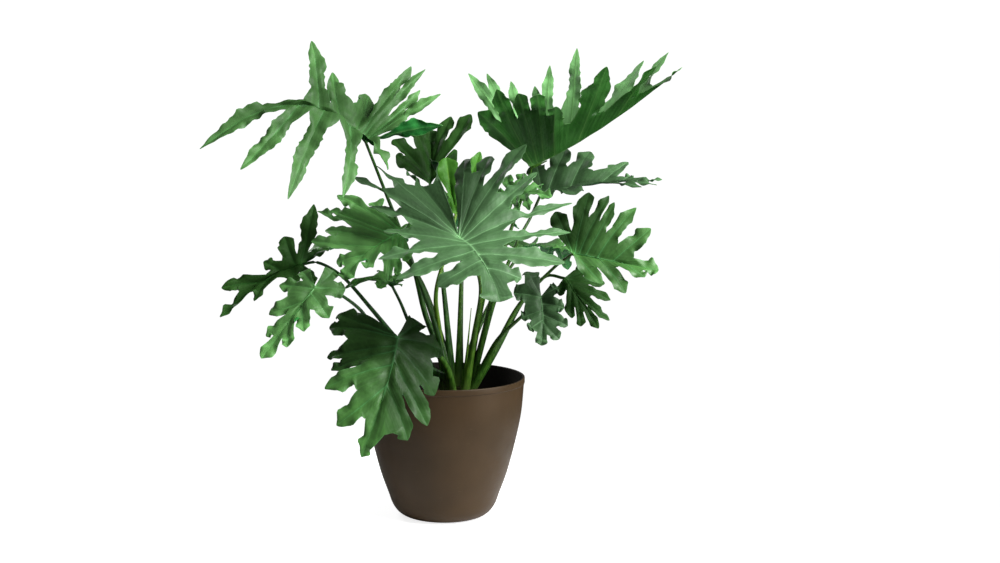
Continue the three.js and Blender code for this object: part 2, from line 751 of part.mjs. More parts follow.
// Round heel between the flat foot and the side
const heelCurve = new THREE.QuadraticBezierCurve(
  new THREE.Vector2(potFootRadius, 0),
  new THREE.Vector2(potHeelControl, 0),
  new THREE.Vector2(...potSide[0]),
);

const curvePoints = (curve, count) => curve.getPoints(count).map((p) => [p.x, p.y]);

// Outline moved inward, square to itself
function insetOutline(outline, inset) {
  return outline.map(([radius, height], i) => {
    const [r0, h0] = outline[Math.max(i - 1, 0)];
    const [r1, h1] = outline[Math.min(i + 1, outline.length - 1)];
    const length = Math.hypot(r1 - r0, h1 - h0);
    return [radius - inset * (h1 - h0) / length, height + inset * (r1 - r0) / length];
  });
}

const outerWall = [...curvePoints(heelCurve, heelSteps), ...curvePoints(sideCurve, sideSteps).slice(1)];
const innerWall = insetOutline(outerWall, potWall).filter(([, height]) => height > potFloor);

function makePot() {
  const lipTop = potHeight - lipRound;
  const lipBottom = potHeight - lipHeight;
  const innerLip = potRimRadius - potWall - lipExtra;
  const profile = [
    [0, 0],
    ...outerWall,
    [potRimRadius, lipBottom + lipStep],
    [potRimRadius, lipTop],
    [potRimRadius - lipRound * 0.3, potHeight - lipRound * 0.3],
    [potRimRadius - lipRound, potHeight],
    [innerLip + lipRound, potHeight],
    [innerLip + lipRound * 0.3, potHeight - lipRound * 0.3],
    [innerLip, lipTop],
    ...innerWall.slice().reverse(),
    [potFootRadius, potFloor],
    [0, potFloor],
  ];
  return toSolid(turn(profile, potSegments));
}

// Soil fills the pot to a hand's breadth under the rim, with a plain hole for the crown
function makeSoil() {
  const inside = insetOutline(outerWall, potWall + gap)
    .filter(([, height]) => height > potFloor + gap);
  const fill = inside.filter(([, height]) => height < soilLevel);
  const next = inside[fill.length];
  const [lastRadius, lastHeight] = fill[fill.length - 1];
  const share = (soilLevel - lastHeight) / (next[1] - lastHeight);
  const topRadius = lastRadius + share * (next[0] - lastRadius);
  const profile = [
    [0, potFloor + gap],
    [potFootRadius - gap, potFloor + gap],
    ...fill,
    [topRadius, soilLevel],
    [topRadius * soilShoulder[0], soilLevel + soilRise * soilShoulder[1]],
    [0, soilLevel + soilRise],
  ];
  const holeBottom = crownBottom - gap;
  const holeHeight = potHeight - holeBottom;
  const hole = new THREE.CylinderGeometry(crownRadius + gap, crownRadius + gap, holeHeight, crownSegments)
    .rotateX(Math.PI / 2)
    .translate(crownX, 0, holeBottom + holeHeight / 2);
  return toSolid(turn(profile, potSegments)).subtract(toSolid(hole));
}

// A new shoot stands among the stalks, drawn to a point
function makeShoot() {
  const path = smoothPath(shoot.map(point), stalkStep);
  return toSolid(makeStalk(path, shootBaseRadius, shootTipRadius, stalkSides));
}

// The crown stands in the soil and tapers just above it
function makeCrown() {
  const shoulder = soilLevel + soilRise + crownShoulderRise;
  const profile = [
    [0, crownBottom],
    [crownRadius, crownBottom],
    [crownRadius, shoulder],
    [crownRadius * crownTaper[0], (shoulder + crownTop) / 2],
    [crownRadius * crownTaper[1], crownTop],
    [0, crownTop],
  ];
  return toSolid(turn(profile, crownSegments).translate(crownX, 0, 0));
}

// A stalk leaves the crown toward its first point and stops just short of its blade
function makeBladeStalk(blade, bladeSolid) {
  const first = point(blade.stalk[0]);
  const away = new THREE.Vector3(first.x - crownX, first.y, 0).normalize();
  const base = new THREE.Vector3(crownX, 0, stalkBaseZ).addScaledVector(away, stalkBaseRing);
  const joint = point(blade.joint);
  const before = point(blade.stalk[blade.stalk.length - 1]);
  const back = before.sub(joint).normalize();
  let stalk;
  let step = 0;
  do {
    step += stalkBackStep;
    const end = joint.clone().addScaledVector(back, step);
    const path = smoothPath([base, ...blade.stalk.map(point), end], stalkStep);
    stalk = toSolid(makeStalk(path, stalkBaseRadius, stalkEndRadius, stalkSides));
  } while (stalk.minGap(bladeSolid, 2 * gap) < gap);
  return stalk;
}

const materials = {
  pot: { color: 0x55463a, roughness: 0.55, metalness: 0 },
  soil: { color: 0x1f1712, roughness: 0.95, metalness: 0 },
  stalks: { color: 0x2f5c22, roughness: 0.5, metalness: 0 },
  blade: { color: 0x2f6b35, roughness: 0.45, metalness: 0 },
};

const plant = new THREE.Group();

function addPiece(name, geometry, material) {
  const mesh = new THREE.Mesh(geometry, new THREE.MeshStandardMaterial(material));
  mesh.name = name;
  plant.add(mesh);
}

addPiece('pot', toGeometry(makePot()), materials.pot);
addPiece('soil', toGeometry(makeSoil()), materials.soil);

const bladeSolids = blades.map((blade) => toSolid(thicken(makeSheet(blade), bladeThickness)));
const stalks = blades.map((blade, i) => makeBladeStalk(blade, bladeSolids[i]));
const crown = [makeShoot(), ...stalks].reduce((whole, stalk) => whole.add(stalk), makeCrown());
addPiece('crown_and_stalks', toGeometry(crown), materials.stalks);
blades.forEach((blade, i) => addPiece(blade.name, toGeometry(bladeSolids[i]), materials.blade));

export default plant;
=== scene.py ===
# A split-leaf philodendron in a plain tapered pot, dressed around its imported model.
# Lengths are millimetres, and meshes are made in metres in the model's own frame.
# The camera, the lights and the floor are in metres too.
import math
import random
from dataclasses import dataclass

import bpy
import numpy as np
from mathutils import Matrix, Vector, noise


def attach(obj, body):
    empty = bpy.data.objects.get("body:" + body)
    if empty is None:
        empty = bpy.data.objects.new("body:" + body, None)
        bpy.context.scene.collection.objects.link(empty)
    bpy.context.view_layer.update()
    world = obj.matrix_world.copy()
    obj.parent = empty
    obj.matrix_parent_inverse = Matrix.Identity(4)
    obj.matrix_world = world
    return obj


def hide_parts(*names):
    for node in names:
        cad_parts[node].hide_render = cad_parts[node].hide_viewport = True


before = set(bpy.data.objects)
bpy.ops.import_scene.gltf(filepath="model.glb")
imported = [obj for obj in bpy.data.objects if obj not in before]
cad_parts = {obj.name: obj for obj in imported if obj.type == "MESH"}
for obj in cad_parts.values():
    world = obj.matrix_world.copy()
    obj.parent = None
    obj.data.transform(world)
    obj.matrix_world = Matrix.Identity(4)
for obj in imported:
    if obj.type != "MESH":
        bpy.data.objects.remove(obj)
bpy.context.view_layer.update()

MM = 0.001
SEED = 7
TINY = 1e-6
SPLINE_STEPS = 40

# Pot. POT_SIDE and LIP_STEP are points of radius and height, LIP_STEP's above the lip's bottom
POT_HEIGHT = 260
POT_RIM_RADIUS = 150
POT_FOOT_RADIUS = 66
POT_HEEL_CONTROL = 92
POT_HEEL_STEPS = 14
POT_SIDE = [(102, 36), (121, 91), (142, 182), (148.8, 249)]
POT_SIDE_POINTS = 40
POT_WALL = 3.5
POT_FLOOR = 4
POT_SEGMENTS = 160
LIP_HEIGHT = 11
LIP_STEP = [(148.9, -0.4), (149.4, 0.2), (149.9, 0.7), (POT_RIM_RADIUS, 1.2)]
LIP_ROUND = 1.6
LIP_ROUND_STEPS = 6
LIP_EXTRA = 1

# Soil. A wave has its height, its frequency and the place in the noise where it is read
SOIL_LEVEL = 209
SOIL_RISE = 4
SOIL_SHOULDER = (0.6, 0.8)
SOIL_SINK = 1.2
SOIL_WAVES = [(1.5, 0.045, 0), (0.9, 0.16, 9)]
SOIL_GAP = 0.3
SOIL_MARGIN = 2
SOIL_RINGS = 44
SOIL_SPOKES = 150
CRUMBS = 520
CRUMB_RADIUS = (1.0, 3.4)
CRUMB_STRETCH = (0.6, 1.3)
CRUMB_FLATNESS = 0.6
CRUMB_DENT = (0.8, 1.15)
CRUMB_RINGS = 4
CRUMB_SPOKES = 6
CRUMB_REACH = 0.97
CRUMB_CLEARANCE = 3
CRUMB_LIFT = 0.2

# Crown, stalks and shoot
CROWN_X = 25
CROWN_RADIUS = 29
CROWN_BOTTOM = 130
CROWN_TOP = 236
CROWN_SHOULDER = SOIL_LEVEL + SOIL_RISE + 6
CROWN_SIDE_STEPS = 20
CROWN_TOP_STEPS = 8
CROWN_NARROWING = 0.5
CROWN_ROUNDNESS = 1.6
CROWN_SEGMENTS = 48
STALK_BASE_Z = 217
STALK_BASE_RING = 20
STALK_BASE_RADIUS = 8.2
STALK_END_RADIUS = 2.8
STALK_TAPER = 1.6
STALK_SPREAD = 0.28
STALK_SPREAD_END = 0.35
STALK_GROOVE = 0.16
STALK_SIDES = 14
STALK_STEP = 7
STALK_LEAST_POINTS = 8
JOINT_DEPTH = 1.4
UNDER_BLADE_DEPTH = 1.7
UNDER_BLADE_PLACES = (0.03, 0.07, 0.12)
UNDER_BLADE_RADII = [2.3, 1.7, 0.9]
SHOOT = [(34, -8, STALK_BASE_Z), (42, -12, 300), (50, -14, 388)]
SHOOT_BASE_RADIUS = 6
SHOOT_TIP_RADIUS = 0.8
SHOOT_POINTS = 30
SHOOT_TONE = 0.9

# Outline and ruffle of a lobe, as in the model's own blades
TANGENT_STEP = 0.01
NOTCH_LENGTH = 0.22
ROOM_SHARE = 0.42
NEAR_STEPS = 20
OUTER_LEAD = 0.02
OUTER_START = 0.25
RIB_LEAN = 0.4
RIB_SWAY = 0.05
SWAY_STEP = 2.4
LOBE_BASE = 0.74
LOBE_BULGE = 0.4
LOBE_BULGE_PLACE = 1.15
LOBE_TAPER = 0.66
TOOTH_DEPTH = 0.17
TEETH_PER_LOBE = 1.6
TEETH_LEFT_AT_TIP = 0.3
TEETH_FADE = (0.6, 0.95)
WAVES_PER_LOBE = 1.3
WAVES_LEFT_AT_TIP = 0.2
WAVES_FADE = (0.5, 0.95)
WAVES_RISE = 0.3
WAVES_FULL_WIDTH = 0.4
PHASE_STEP = 0.62

# What the finer blades add to that form. Veins are those of a leaf with a midrib of LEAF_LENGTH
# and follow the size of other leaves within LEAF_SIZES. The wall round the edge has NO_VEIN, a
# distance in vein widths
LEAF_THICKNESS = 0.8
LEAF_LENGTH = 190
LEAF_SIZES = (0.55, 1.1)
SMALL_TOOTH_DEPTH = 0.09
SMALL_TOOTH_LENGTH = 17
SMALL_TOOTH_PHASE = 1.7
SMALL_WAVE = 0.45
SMALL_WAVE_LENGTH = 30
SMALL_WAVE_PHASE = 2.3
MARGIN_POWER = 1.6
QUILT = 0.3
QUILT_START = 0.35
QUILT_BLEND = 0.25
FREE_QUILT_LOSS = 0.25
FREE_QUILT_END = 0.4
FREE_OPENNESS = 0.3
FREE_OPENNESS_END = 0.3
WRINKLE = 3
WRINKLE_LENGTH = 22
VEIN_HALF = 1.15
VEIN_NARROWING = 0.65
VEIN_SKIRT = 2.3
VEIN_COLUMN_LIMITS = (0.22, 0.42)
VEIN_RIDGE = 0.9
VEIN_RIDGE_LOSS = 0.8
MIDRIB_HALF = 1.9
MIDRIB_NARROWING = 0.5
MIDRIB_RIDGE = 1.9
MIDRIB_RIDGE_LOSS = 0.6
MIDRIB_STATIONS = 44
MIDRIB_NEAREST = 0.2
TOP_GROOVE = 0.3
JOINED_ROWS = 10
JOINED_START = 0.06
JOINED_CROWDING = 1.1
FREE_ROW_STEP = 3.4
FREE_ROWS = (14, 44)
FREE_EVENNESS = 0.35
OUTER_COLUMNS = 4
NO_VEIN = 9

# Painted light and shade over a leaf, spread from places along its ribs; the leaf is also paler near the
# joint
SHADE_PLACES = (0.3, 0.5, 0.7, 0.9)
SHADE_BLUR = 6
SHADE_FALL = 4
LEAF_GAIN = 1.07
JOINT_GAIN = 0.9
JOINT_REACH = 9

# Edges that turn by more degrees than this stay sharp
POT_SHARP = 50
STALK_SHARP = 60
LEAF_SHARP = 65

# Leaf colourings in screen values: light and dark of the upper side, its veins and the underside,
# then the sheen
LOOKS = {
    "grey": ((60, 140, 72), (35, 104, 48), (134, 188, 128), (84, 128, 78), 0.42),
    "fresh": ((52, 144, 66), (30, 108, 42), (104, 176, 96), (92, 148, 76), 0.4),
    "mid": ((44, 127, 66), (24, 90, 40), (84, 156, 84), (72, 126, 54), 0.56),
    "deep": ((36, 114, 36), (20, 83, 19), (64, 130, 54), (72, 126, 54), 0.2),
    "broad": ((58, 112, 48), (38, 88, 30), (84, 134, 66), (108, 162, 98), 0.26),
    "young": ((50, 126, 28), (34, 100, 16), (108, 164, 50), (74, 140, 40), 0.24),
}
UPPER_ROUGHNESS = 0.32
UNDER_ROUGHNESS = 0.5
UNDERSIDE_DARKENING = 0.72
BRANCH_SPACING = 11

# Camera and studio. A light has its place, what it points at, its size and its power
CAMERA_PLACE = (0, -2.4, 0.69)
CAMERA_PITCH = 6.05
CAMERA_LENS = 47.1
CAMERA_SENSOR = 36
CAMERA_SHIFT = 0.056
CAMERA_CLIP = (0.05, 60)
LIGHTS = {
    "key": ((2.1, -1.2, 2.5), (0, 0, 0.45), 2.2, 180),
    "low": ((3.0, -1.4, 0.35), (0.1, 0, 0.45), 1.4, 58),
    "back": ((-1.6, 2.4, 2.2), (0, 0, 0.6), 1.4, 28),
}
FLOOR_REACH = 9
FLOOR_SIDES = 64
FLOOR_DROP = 0.0005
FLOOR_FADE = (0.25, 0.9)
FLOOR_GLOW = (0.8, 1.02)
FLOOR_ROUGHNESS = (0.95, 0.9)
FLOOR_SPECULAR = 0.1
SKY_SEEN = 1.05
SKY_LIGHT = 0.17
WHITE = (1, 1, 1, 1)
GREY = (0.86, 0.86, 0.86, 1)
BLACK = (0, 0, 0, 1)


@dataclass
class Blade:
    """A leaf blade: its midrib from the joint with the stalk to the tip, its lobes and its stalk.

    A lobe is (place on the midrib, tip x, y, z, width, arch) and may add the share of its length
    that is joined to the next one. Lobes are listed from the stalk toward the tip, on the left
    and right as seen from above with the tip pointing away.
    """
    name: str
    joint: tuple
    middle: tuple
    tip: tuple
    facing: tuple  # the way the upper side faces
    end_width: float  # of the end lobe, whose rib is the midrib from end_from on
    left: list
    right: list
    stalk: list  # points that the stalk runs through, from the crown to the joint
    end_from: float = 0.6
    web: float = 0.5  # share of a lobe's length that is joined to its neighbours
    ruffle: float = 4  # how high the margins wave
    blunt: float = 4  # of the lobes' tips
    relief: float = 1  # how strongly the blade swells and wrinkles
    look: str = "mid"  # names a leaf colouring
    tone: float = 0.2  # makes the stalk greener (0) or yellower (1)
    painted_shading: tuple = (1, 1)  # painted light and shade round the lobes: up the left side, then down the right
    painted_tip_shading: tuple = (0.8, 1.35)  # multiplies the painted light and shade at the lobes' inner parts and at their tips


BLADES = [Blade(
    name="front_centre", look="grey", tone=0.5, relief=0.65,
    painted_shading=(0.24, 0.3, 0.9, 1.0, 0.85, 0.85, 0.92, 0.95, 0.65, 0.4, 0.3, 0.32), painted_tip_shading=(0.9, 1.08),
    joint=(26, -130, 525), middle=(64, -190, 492), tip=(93, -250, 428), facing=(0, -0.7, 0.7),
    web=0.4, end_from=0.68, end_width=66,
    left=[
        (0, 38, -15, 660, 40, 10, 0.8), (0, 85, -10, 666, 46, 12, 0.6), (0.02, 150, 0, 687, 38, 14, 0.55),
        (0.06, 168, -30, 637, 28, 12, 0.5), (0.12, 228, -75, 583, 18, 12, 0.36),
        (0.22, 221, -115, 535, 25, 12, 0.33), (0.4, 206, -170, 485, 46, 10, 0.5),
        (0.62, 130, -215, 463, 32, 4, 0.8),
    ],
    right=[
        (0, -26, -5, 660, 26, 8, 0.72), (0, -68, -20, 637, 42, 10, 0.75),
        (0.02, -122, -45, 648, 28, 10, 0.72), (0.04, -162, -65, 629, 42, 12, 0.68),
        (0.08, -132, -90, 577, 26, 10, 0.65), (0.14, -106, -120, 536, 22, 8, 0.55),
        (0.22, -113, -160, 491, 26, 10, 0.4), (0.34, -81, -190, 458, 30, 10, 0.3),
        (0.5, -11, -210, 449, 42, 8, 0.5),
    ],
    stalk=[(55, -42, 340), (66, -70, 430), (48, -112, 490)],
), Blade(
    name="upper_left", look="fresh", tone=0.1, relief=1.4,
    painted_shading=(1.0, 0.55, 0.65, 0.6, 0.75, 0.65, 0.55, 0.45, 0.4, 0.5, 0.5, 0.75, 0.8), painted_tip_shading=(0.62, 1.35),
    joint=(-140, -40, 692), middle=(-266, -80, 756), tip=(-422, -130, 679), facing=(-0.2, -0.75, 0.6),
    web=0.12, end_from=0.5, end_width=29, ruffle=6, blunt=3,
    left=[
        (0, -2, -60, 720, 28, 10, 0.3), (0.03, -98, -110, 643, 25, 14, 0.2),
        (0.12, -174, -150, 596, 26, 18, 0.1), (0.3, -266, -170, 594, 30, 22, 0.1),
        (0.46, -349, -150, 644, 29, 18, 0.16),
    ],
    right=[
        (0, -6, 0, 778, 18, 8, 0.55), (0.01, -44, 20, 786, 16, 8, 0.42), (0.03, -35, 50, 825, 16, 10, 0.5),
        (0.05, -61, 60, 831, 26, 10, 0.3), (0.08, -141, 50, 776, 44, 8, 0.4),
        (0.2, -204, 20, 818, 30, 6, 0.12), (0.34, -240, 0, 873, 31, 6, 0.1),
    ],
    stalk=[(-8, 8, 300), (-35, 14, 375), (-55, 22, 455), (-80, 32, 525), (-112, 18, 610)],
), Blade(
    name="back_left", look="deep", tone=0.1,
    painted_shading=(0.14, 0.24, 0.55, 0.6),
    joint=(-27, 115, 612), middle=(-24, 150, 660), tip=(-28, 190, 716), facing=(0, -0.67, 0.74),
    end_from=0.4, end_width=30,
    left=[
        (0, -92, 120, 667, 40, 6, 0.8), (0.08, -98, 140, 697, 40, 8, 0.55),
        (0.3, -62, 165, 731, 36, 6, 0.6),
    ],
    right=[
        (0, 25, 120, 676, 40, 6, 0.6), (0.08, 52, 150, 745, 52, 8, 0.6), (0.3, 14, 170, 741, 30, 6, 0.6),
    ],
    stalk=[(8, 35, 330), (-8, 68, 480)],
), Blade(
    name="upper_right", look="broad", tone=0.3, relief=0.25,
    painted_shading=(1.2, 1.2, 1.1, 0.8, 0.7, 0.8, 0.8),
    joint=(164, 70, 645), middle=(293, 60, 716), tip=(441, 50, 829), facing=(-0.57, 0, 0.82),
    web=0.35, end_from=0.82, end_width=32, blunt=3,
    left=[
        (0, 46, 110, 821, 24, 6, 0.6), (0.01, 82, 130, 822, 20, 6, 0.6), (0.04, 129, 150, 808, 20, 6, 0.6),
        (0.08, 176, 160, 799, 22, 6, 0.5), (0.15, 205, 160, 839, 22, 8, 0.4),
        (0.28, 257, 160, 872, 26, 8, 0.3), (0.48, 381, 125, 846, 34, 8, 0.35),
        (0.72, 422, 90, 859, 20, 6, 0.4),
    ],
    right=[
        (0, 62, 20, 746, 44, 6, 0.7), (0.02, 96, 5, 787, 32, 6, 0.65), (0.05, 134, -5, 779, 32, 6, 0.75),
        (0.1, 168, -20, 777, 50, 6, 0.8), (0.18, 202, -20, 755, 38, 6, 0.45),
        (0.34, 294, -10, 827, 54, 8, 0.3), (0.6, 387, 10, 830, 34, 6, 0.4),
    ],
    stalk=[(78, 22, 350), (103, 60, 455), (138, 98, 555), (158, 90, 615)],
), Blade(
    name="right_high", look="grey", relief=0.7,
    painted_shading=(0.45, 0.75, 0.9, 0.5, 0.3), painted_tip_shading=(0.5, 1.3),
    joint=(183, 75, 596), middle=(293, 62, 613), tip=(406, 40, 621), facing=(-0.1, -0.25, 1),
    web=0.45, end_from=0.76, end_width=18, ruffle=5,
    left=[
        (0, 177, 120, 648, 42, 6, 0.7), (0.06, 236, 140, 679, 38, 6, 0.5),
        (0.25, 282, 140, 673, 42, 6, 0.4), (0.5, 352, 118, 653, 34, 6, 0.5),
        (0.68, 356, 80, 627, 16, 4, 0.5),
    ],
    right=[
        (0, 194, 30, 587, 30, 6, 0.5), (0.2, 242, 5, 595, 42, 6, 0.6), (0.5, 363, 5, 609, 17, 6, 0.3),
        (0.68, 393, 20, 612, 12, 4, 0.36),
    ],
    stalk=[(90, 8, 390), (134, 34, 500), (162, 58, 550)],
), Blade(
    name="right", tone=0.3, relief=0.5,
    painted_shading=(0.16, 0.3, 0.85, 0.95, 0.7, 0.8), painted_tip_shading=(1.0, 1.3),
    joint=(230, -60, 493), middle=(302, -88, 480), tip=(377, -112, 467), facing=(0, -0.7, 0.7),
    end_from=0.64, end_width=38, ruffle=4.5, blunt=3.2,
    left=[
        (0, 201, -30, 566, 36, 6, 0.5), (0.03, 262, -34, 601, 42, 8, 0.6),
        (0.08, 297, -42, 596, 20, 8, 0.6), (0.16, 306, -50, 584, 20, 8, 0.45),
        (0.3, 344, -60, 575, 26, 8, 0.4), (0.48, 367, -82, 539, 32, 6, 0.5),
    ],
    right=[
        (0, 194, -80, 504, 28, 6, 0.5), (0.04, 277, -118, 444, 30, 6, 0.42),
        (0.32, 317, -132, 429, 34, 6, 0.4), (0.58, 350, -132, 457, 26, 4, 0.7),
    ],
    stalk=[(100, -14, 325), (140, -28, 400), (198, -44, 465)],
), Blade(
    name="right_low", look="grey",
    painted_shading=(0.22, 0.45, 0.65, 0.4, 0.18),
    joint=(171, -105, 418), middle=(173, -130, 382), tip=(169, -145, 339), facing=(0, -0.95, 0.3),
    web=0.65, end_width=28, ruffle=3.5, blunt=2.4,
    left=[
        (0, 201, -108, 437, 38, 4, 0.7), (0.15, 211, -128, 403, 32, 4, 0.7),
        (0.4, 216, -138, 372, 22, 4, 0.7), (0.55, 200, -145, 350, 26, 3, 0.65),
    ],
    right=[
        (0, 149, -85, 461, 38, 4, 0.85), (0.02, 123, -100, 425, 38, 5, 0.75),
        (0.3, 136, -122, 384, 26, 4, 0.75), (0.5, 149, -135, 365, 18, 3, 0.75),
    ],
    stalk=[(80, -22, 298), (102, -48, 340), (138, -76, 380)],
), Blade(
    name="right_under", look="deep", tone=0.1,
    painted_shading=(0.42, 0.42),
    joint=(220, -30, 445), middle=(246, -52, 408), tip=(278, -70, 358), facing=(-0.2, -0.85, 0.4),
    web=0.45, end_from=0.5, end_width=20, blunt=3.5,
    left=[
        (0, 270, -10, 458, 24, 4, 0.6), (0.05, 294, -15, 433, 24, 4, 0.5),
        (0.15, 303, -35, 405, 20, 5, 0.45), (0.35, 298, -55, 370, 18, 5, 0.35),
    ],
    right=[
        (0, 210, -45, 414, 20, 4, 0.45), (0.25, 230, -66, 376, 22, 4, 0.55),
        (0.4, 246, -72, 362, 26, 4, 0.5),
    ],
    stalk=[(98, 0, 310), (145, -6, 400), (185, -14, 446)],
), Blade(
    name="left", look="deep", tone=0.0,
    painted_shading=(0.5, 0.5, 0.62),
    joint=(-262, 0, 468), middle=(-334, -15, 435), tip=(-407, -40, 374), facing=(-0.1, -0.6, 0.8),
    web=0.4, end_width=18, ruffle=5, blunt=3,
    left=[
        (0, -238, -20, 430, 28, 4, 0.4), (0.12, -270, -32, 432, 26, 4, 0.5),
        (0.4, -345, -40, 404, 16, 4, 0.55),
    ],
    right=[
        (0, -213, 35, 494, 24, 6, 0.4), (0.02, -242, 35, 577, 30, 8, 0.35),
        (0.08, -295, 15, 518, 38, 6, 0.5), (0.25, -332, -5, 472, 22, 6, 0.3),
        (0.5, -406, -30, 427, 28, 6, 0.5),
    ],
    stalk=[(-8, 2, 252), (-48, 4, 283), (-90, 6, 330), (-135, 6, 385), (-185, 5, 442), (-230, 2, 470)],
), Blade(
    name="left_low", look="fresh", tone=0.0,
    painted_shading=(0.45, 0.7, 1.3, 1.3, 0.7, 0.45),
    joint=(-227, -110, 438), middle=(-265, -135, 386), tip=(-318, -152, 317), facing=(0, -0.9, 0.45),
    web=0.55, end_width=36, blunt=2.2,
    left=[
        (0, -196, -85, 463, 42, 4, 0.8), (0.02, -175, -95, 431, 42, 4, 0.5),
        (0.12, -200, -140, 386, 32, 4, 0.5), (0.3, -242, -158, 365, 30, 4, 0.45),
        (0.56, -272, -160, 338, 26, 3, 0.65),
    ],
    right=[
        (0, -252, -88, 463, 36, 4, 0.6), (0.05, -291, -96, 438, 28, 4, 0.6),
        (0.25, -307, -122, 390, 30, 5, 0.42), (0.52, -310, -138, 355, 22, 4, 0.7),
    ],
    stalk=[(0, -30, 262), (-80, -36, 302), (-122, -52, 345), (-150, -70, 392), (-195, -96, 429)],
), Blade(
    name="front_low", tone=0.3,
    painted_shading=(0.1, 0.12, 0.22, 0.35, 0.4, 1.1, 1.0, 0.9, 0.28, 0.18, 0.16, 0.18),
    joint=(-79, -175, 358), middle=(-98, -225, 279), tip=(-139, -245, 164), facing=(-0.1, -0.85, 0.5),
    web=0.6, end_from=0.62, end_width=26, ruffle=3.5, blunt=2.1,
    left=[
        (0, -42, -130, 377, 42, 10, 0.7), (0.02, -4, -142, 330, 50, 14, 0.75),
        (0.12, -16, -196, 260, 44, 15, 0.65), (0.25, -28, -226, 214, 44, 14, 0.45),
        (0.48, -61, -240, 192, 38, 7, 0.75),
    ],
    right=[
        (0, -185, -112, 389, 38, 10, 0.93), (0.02, -201, -124, 366, 38, 12, 0.7),
        (0.1, -202, -160, 320, 28, 14, 0.8), (0.16, -194, -176, 300, 26, 14, 0.45),
        (0.3, -202, -212, 275, 40, 15, 0.55), (0.48, -181, -236, 217, 42, 10, 0.55),
    ],
    stalk=[(4, -48, 285), (-40, -102, 345), (-64, -148, 366)],
), Blade(
    name="left_centre", look="fresh", tone=0.1,
    painted_shading=(2.4, 2.4, 1.6, 0.9, 1.2, 1.9, 1.8), painted_tip_shading=(1.3, 0.8),
    joint=(-76, -50, 531), middle=(-132, -78, 497), tip=(-180, -92, 449), facing=(0, -0.7, 0.7),
    web=0.7, end_width=34, ruffle=6, blunt=3,
    left=[
        (0, -68, -85, 480, 28, 4, 0.65), (0.06, -83, -98, 458, 26, 4, 0.8),
        (0.14, -99, -108, 448, 26, 4, 0.55), (0.36, -137, -108, 470, 26, 3, 0.6),
    ],
    right=[
        (0, -133, -5, 582, 32, 5, 0.8), (0.03, -196, 5, 594, 34, 6, 0.75), (0.1, -208, -6, 567, 28, 6, 0.8),
        (0.16, -231, -16, 566, 14, 6, 0.6), (0.26, -216, -38, 533, 26, 5, 0.7),
        (0.4, -239, -54, 514, 28, 6, 0.6), (0.56, -192, -76, 477, 28, 3, 0.75),
    ],
    stalk=[(-6, -18, 318), (-32, -28, 405), (-58, -40, 475)],
), Blade(
    name="young", look="young", tone=1.0,
    painted_shading=(0.75, 0.75),
    joint=(22, 50, 557), middle=(12, 62, 608), tip=(4, 75, 662), facing=(0, -0.9, 0.4),
    end_from=0.34, end_width=46, ruffle=3,
    left=[
        (0, -20, 50, 590, 30, 4, 0.5),
    ],
    right=[
        (0, 62, 60, 600, 30, 4, 0.5), (0.1, 68, 82, 673, 32, 5, 0.4),
    ],
    stalk=[(-8, -10, 340), (-14, -8, 420), (12, 28, 510)],
), Blade(
    name="right_inner", look="fresh", tone=0.4,
    painted_shading=(1.0, 1.0),
    joint=(126, 40, 583), middle=(160, 22, 598), tip=(196, -8, 590), facing=(0, -0.6, 0.8),
    web=0.4, end_from=0.5, end_width=22,
    left=[
        (0, 100, 60, 600, 24, 4, 0.6), (0.03, 120, 70, 627, 28, 5, 0.6), (0.2, 150, 64, 633, 24, 5, 0.5),
        (0.4, 184, 40, 612, 20, 4, 0.5),
    ],
    right=[
        (0, 118, 15, 560, 18, 5, 0.4), (0.15, 137, 2, 563, 16, 6, 0.3), (0.35, 157, -8, 567, 16, 6, 0.3),
    ],
    stalk=[(60, 16, 340), (92, 26, 480)],
), Blade(
    name="left_inner", look="deep", tone=0.0,
    joint=(-95, 20, 425), middle=(-135, 5, 438), tip=(-182, -15, 424), facing=(0, -0.5, 0.85),
    end_from=0.5, end_width=14, ruffle=3,
    left=[
        (0, -82, -15, 432, 18, 3, 0.5), (0.2, -122, -22, 426, 20, 4, 0.5),
    ],
    right=[
        (0, -80, 50, 445, 22, 4, 0.5), (0.15, -122, 42, 452, 22, 5, 0.5),
    ],
    stalk=[(-16, 12, 262), (-58, 18, 340), (-80, 20, 392)],
), Blade(
    name="rear_left",
    joint=(-110, 150, 500), middle=(-165, 210, 515), tip=(-235, 290, 470), facing=(-0.2, 0.3, 0.95),
    web=0.42, end_from=0.62, end_width=34, blunt=3.5,
    left=[
        (0, -150, 95, 520, 40, 6), (0.06, -205, 110, 500, 40, 10), (0.2, -250, 150, 480, 36, 12),
        (0.4, -275, 200, 470, 34, 12), (0.54, -275, 250, 465, 28, 8),
    ],
    right=[
        (0, -55, 150, 525, 40, 6), (0.06, -45, 200, 515, 40, 10), (0.2, -75, 250, 490, 36, 12),
        (0.4, -120, 290, 470, 34, 12), (0.54, -175, 305, 465, 28, 8),
    ],
    stalk=[(2, 30, 300), (-40, 80, 420), (-85, 125, 478)],
), Blade(
    name="rear_centre", tone=0.3,
    joint=(40, 180, 560), middle=(55, 260, 565), tip=(65, 360, 500), facing=(0.05, 0.35, 0.93),
    web=0.42, end_from=0.62, end_width=38, blunt=3.5,
    left=[
        (0, -15, 160, 590, 42, 6), (0.06, -50, 215, 570, 42, 12), (0.22, -55, 275, 540, 38, 14),
        (0.4, -35, 325, 510, 36, 12), (0.54, 10, 355, 500, 30, 8),
    ],
    right=[
        (0, 95, 160, 590, 42, 6), (0.06, 140, 205, 570, 42, 12), (0.22, 160, 265, 540, 38, 14),
        (0.4, 155, 320, 510, 36, 12), (0.54, 115, 350, 500, 30, 8),
    ],
    stalk=[(30, 40, 330), (34, 90, 450), (38, 150, 540)],
), Blade(
    name="rear_right", look="fresh",
    joint=(160, 140, 480), middle=(225, 190, 485), tip=(305, 250, 430), facing=(0.2, 0.3, 0.95),
    web=0.42, end_from=0.62, end_width=34, blunt=3.5,
    left=[
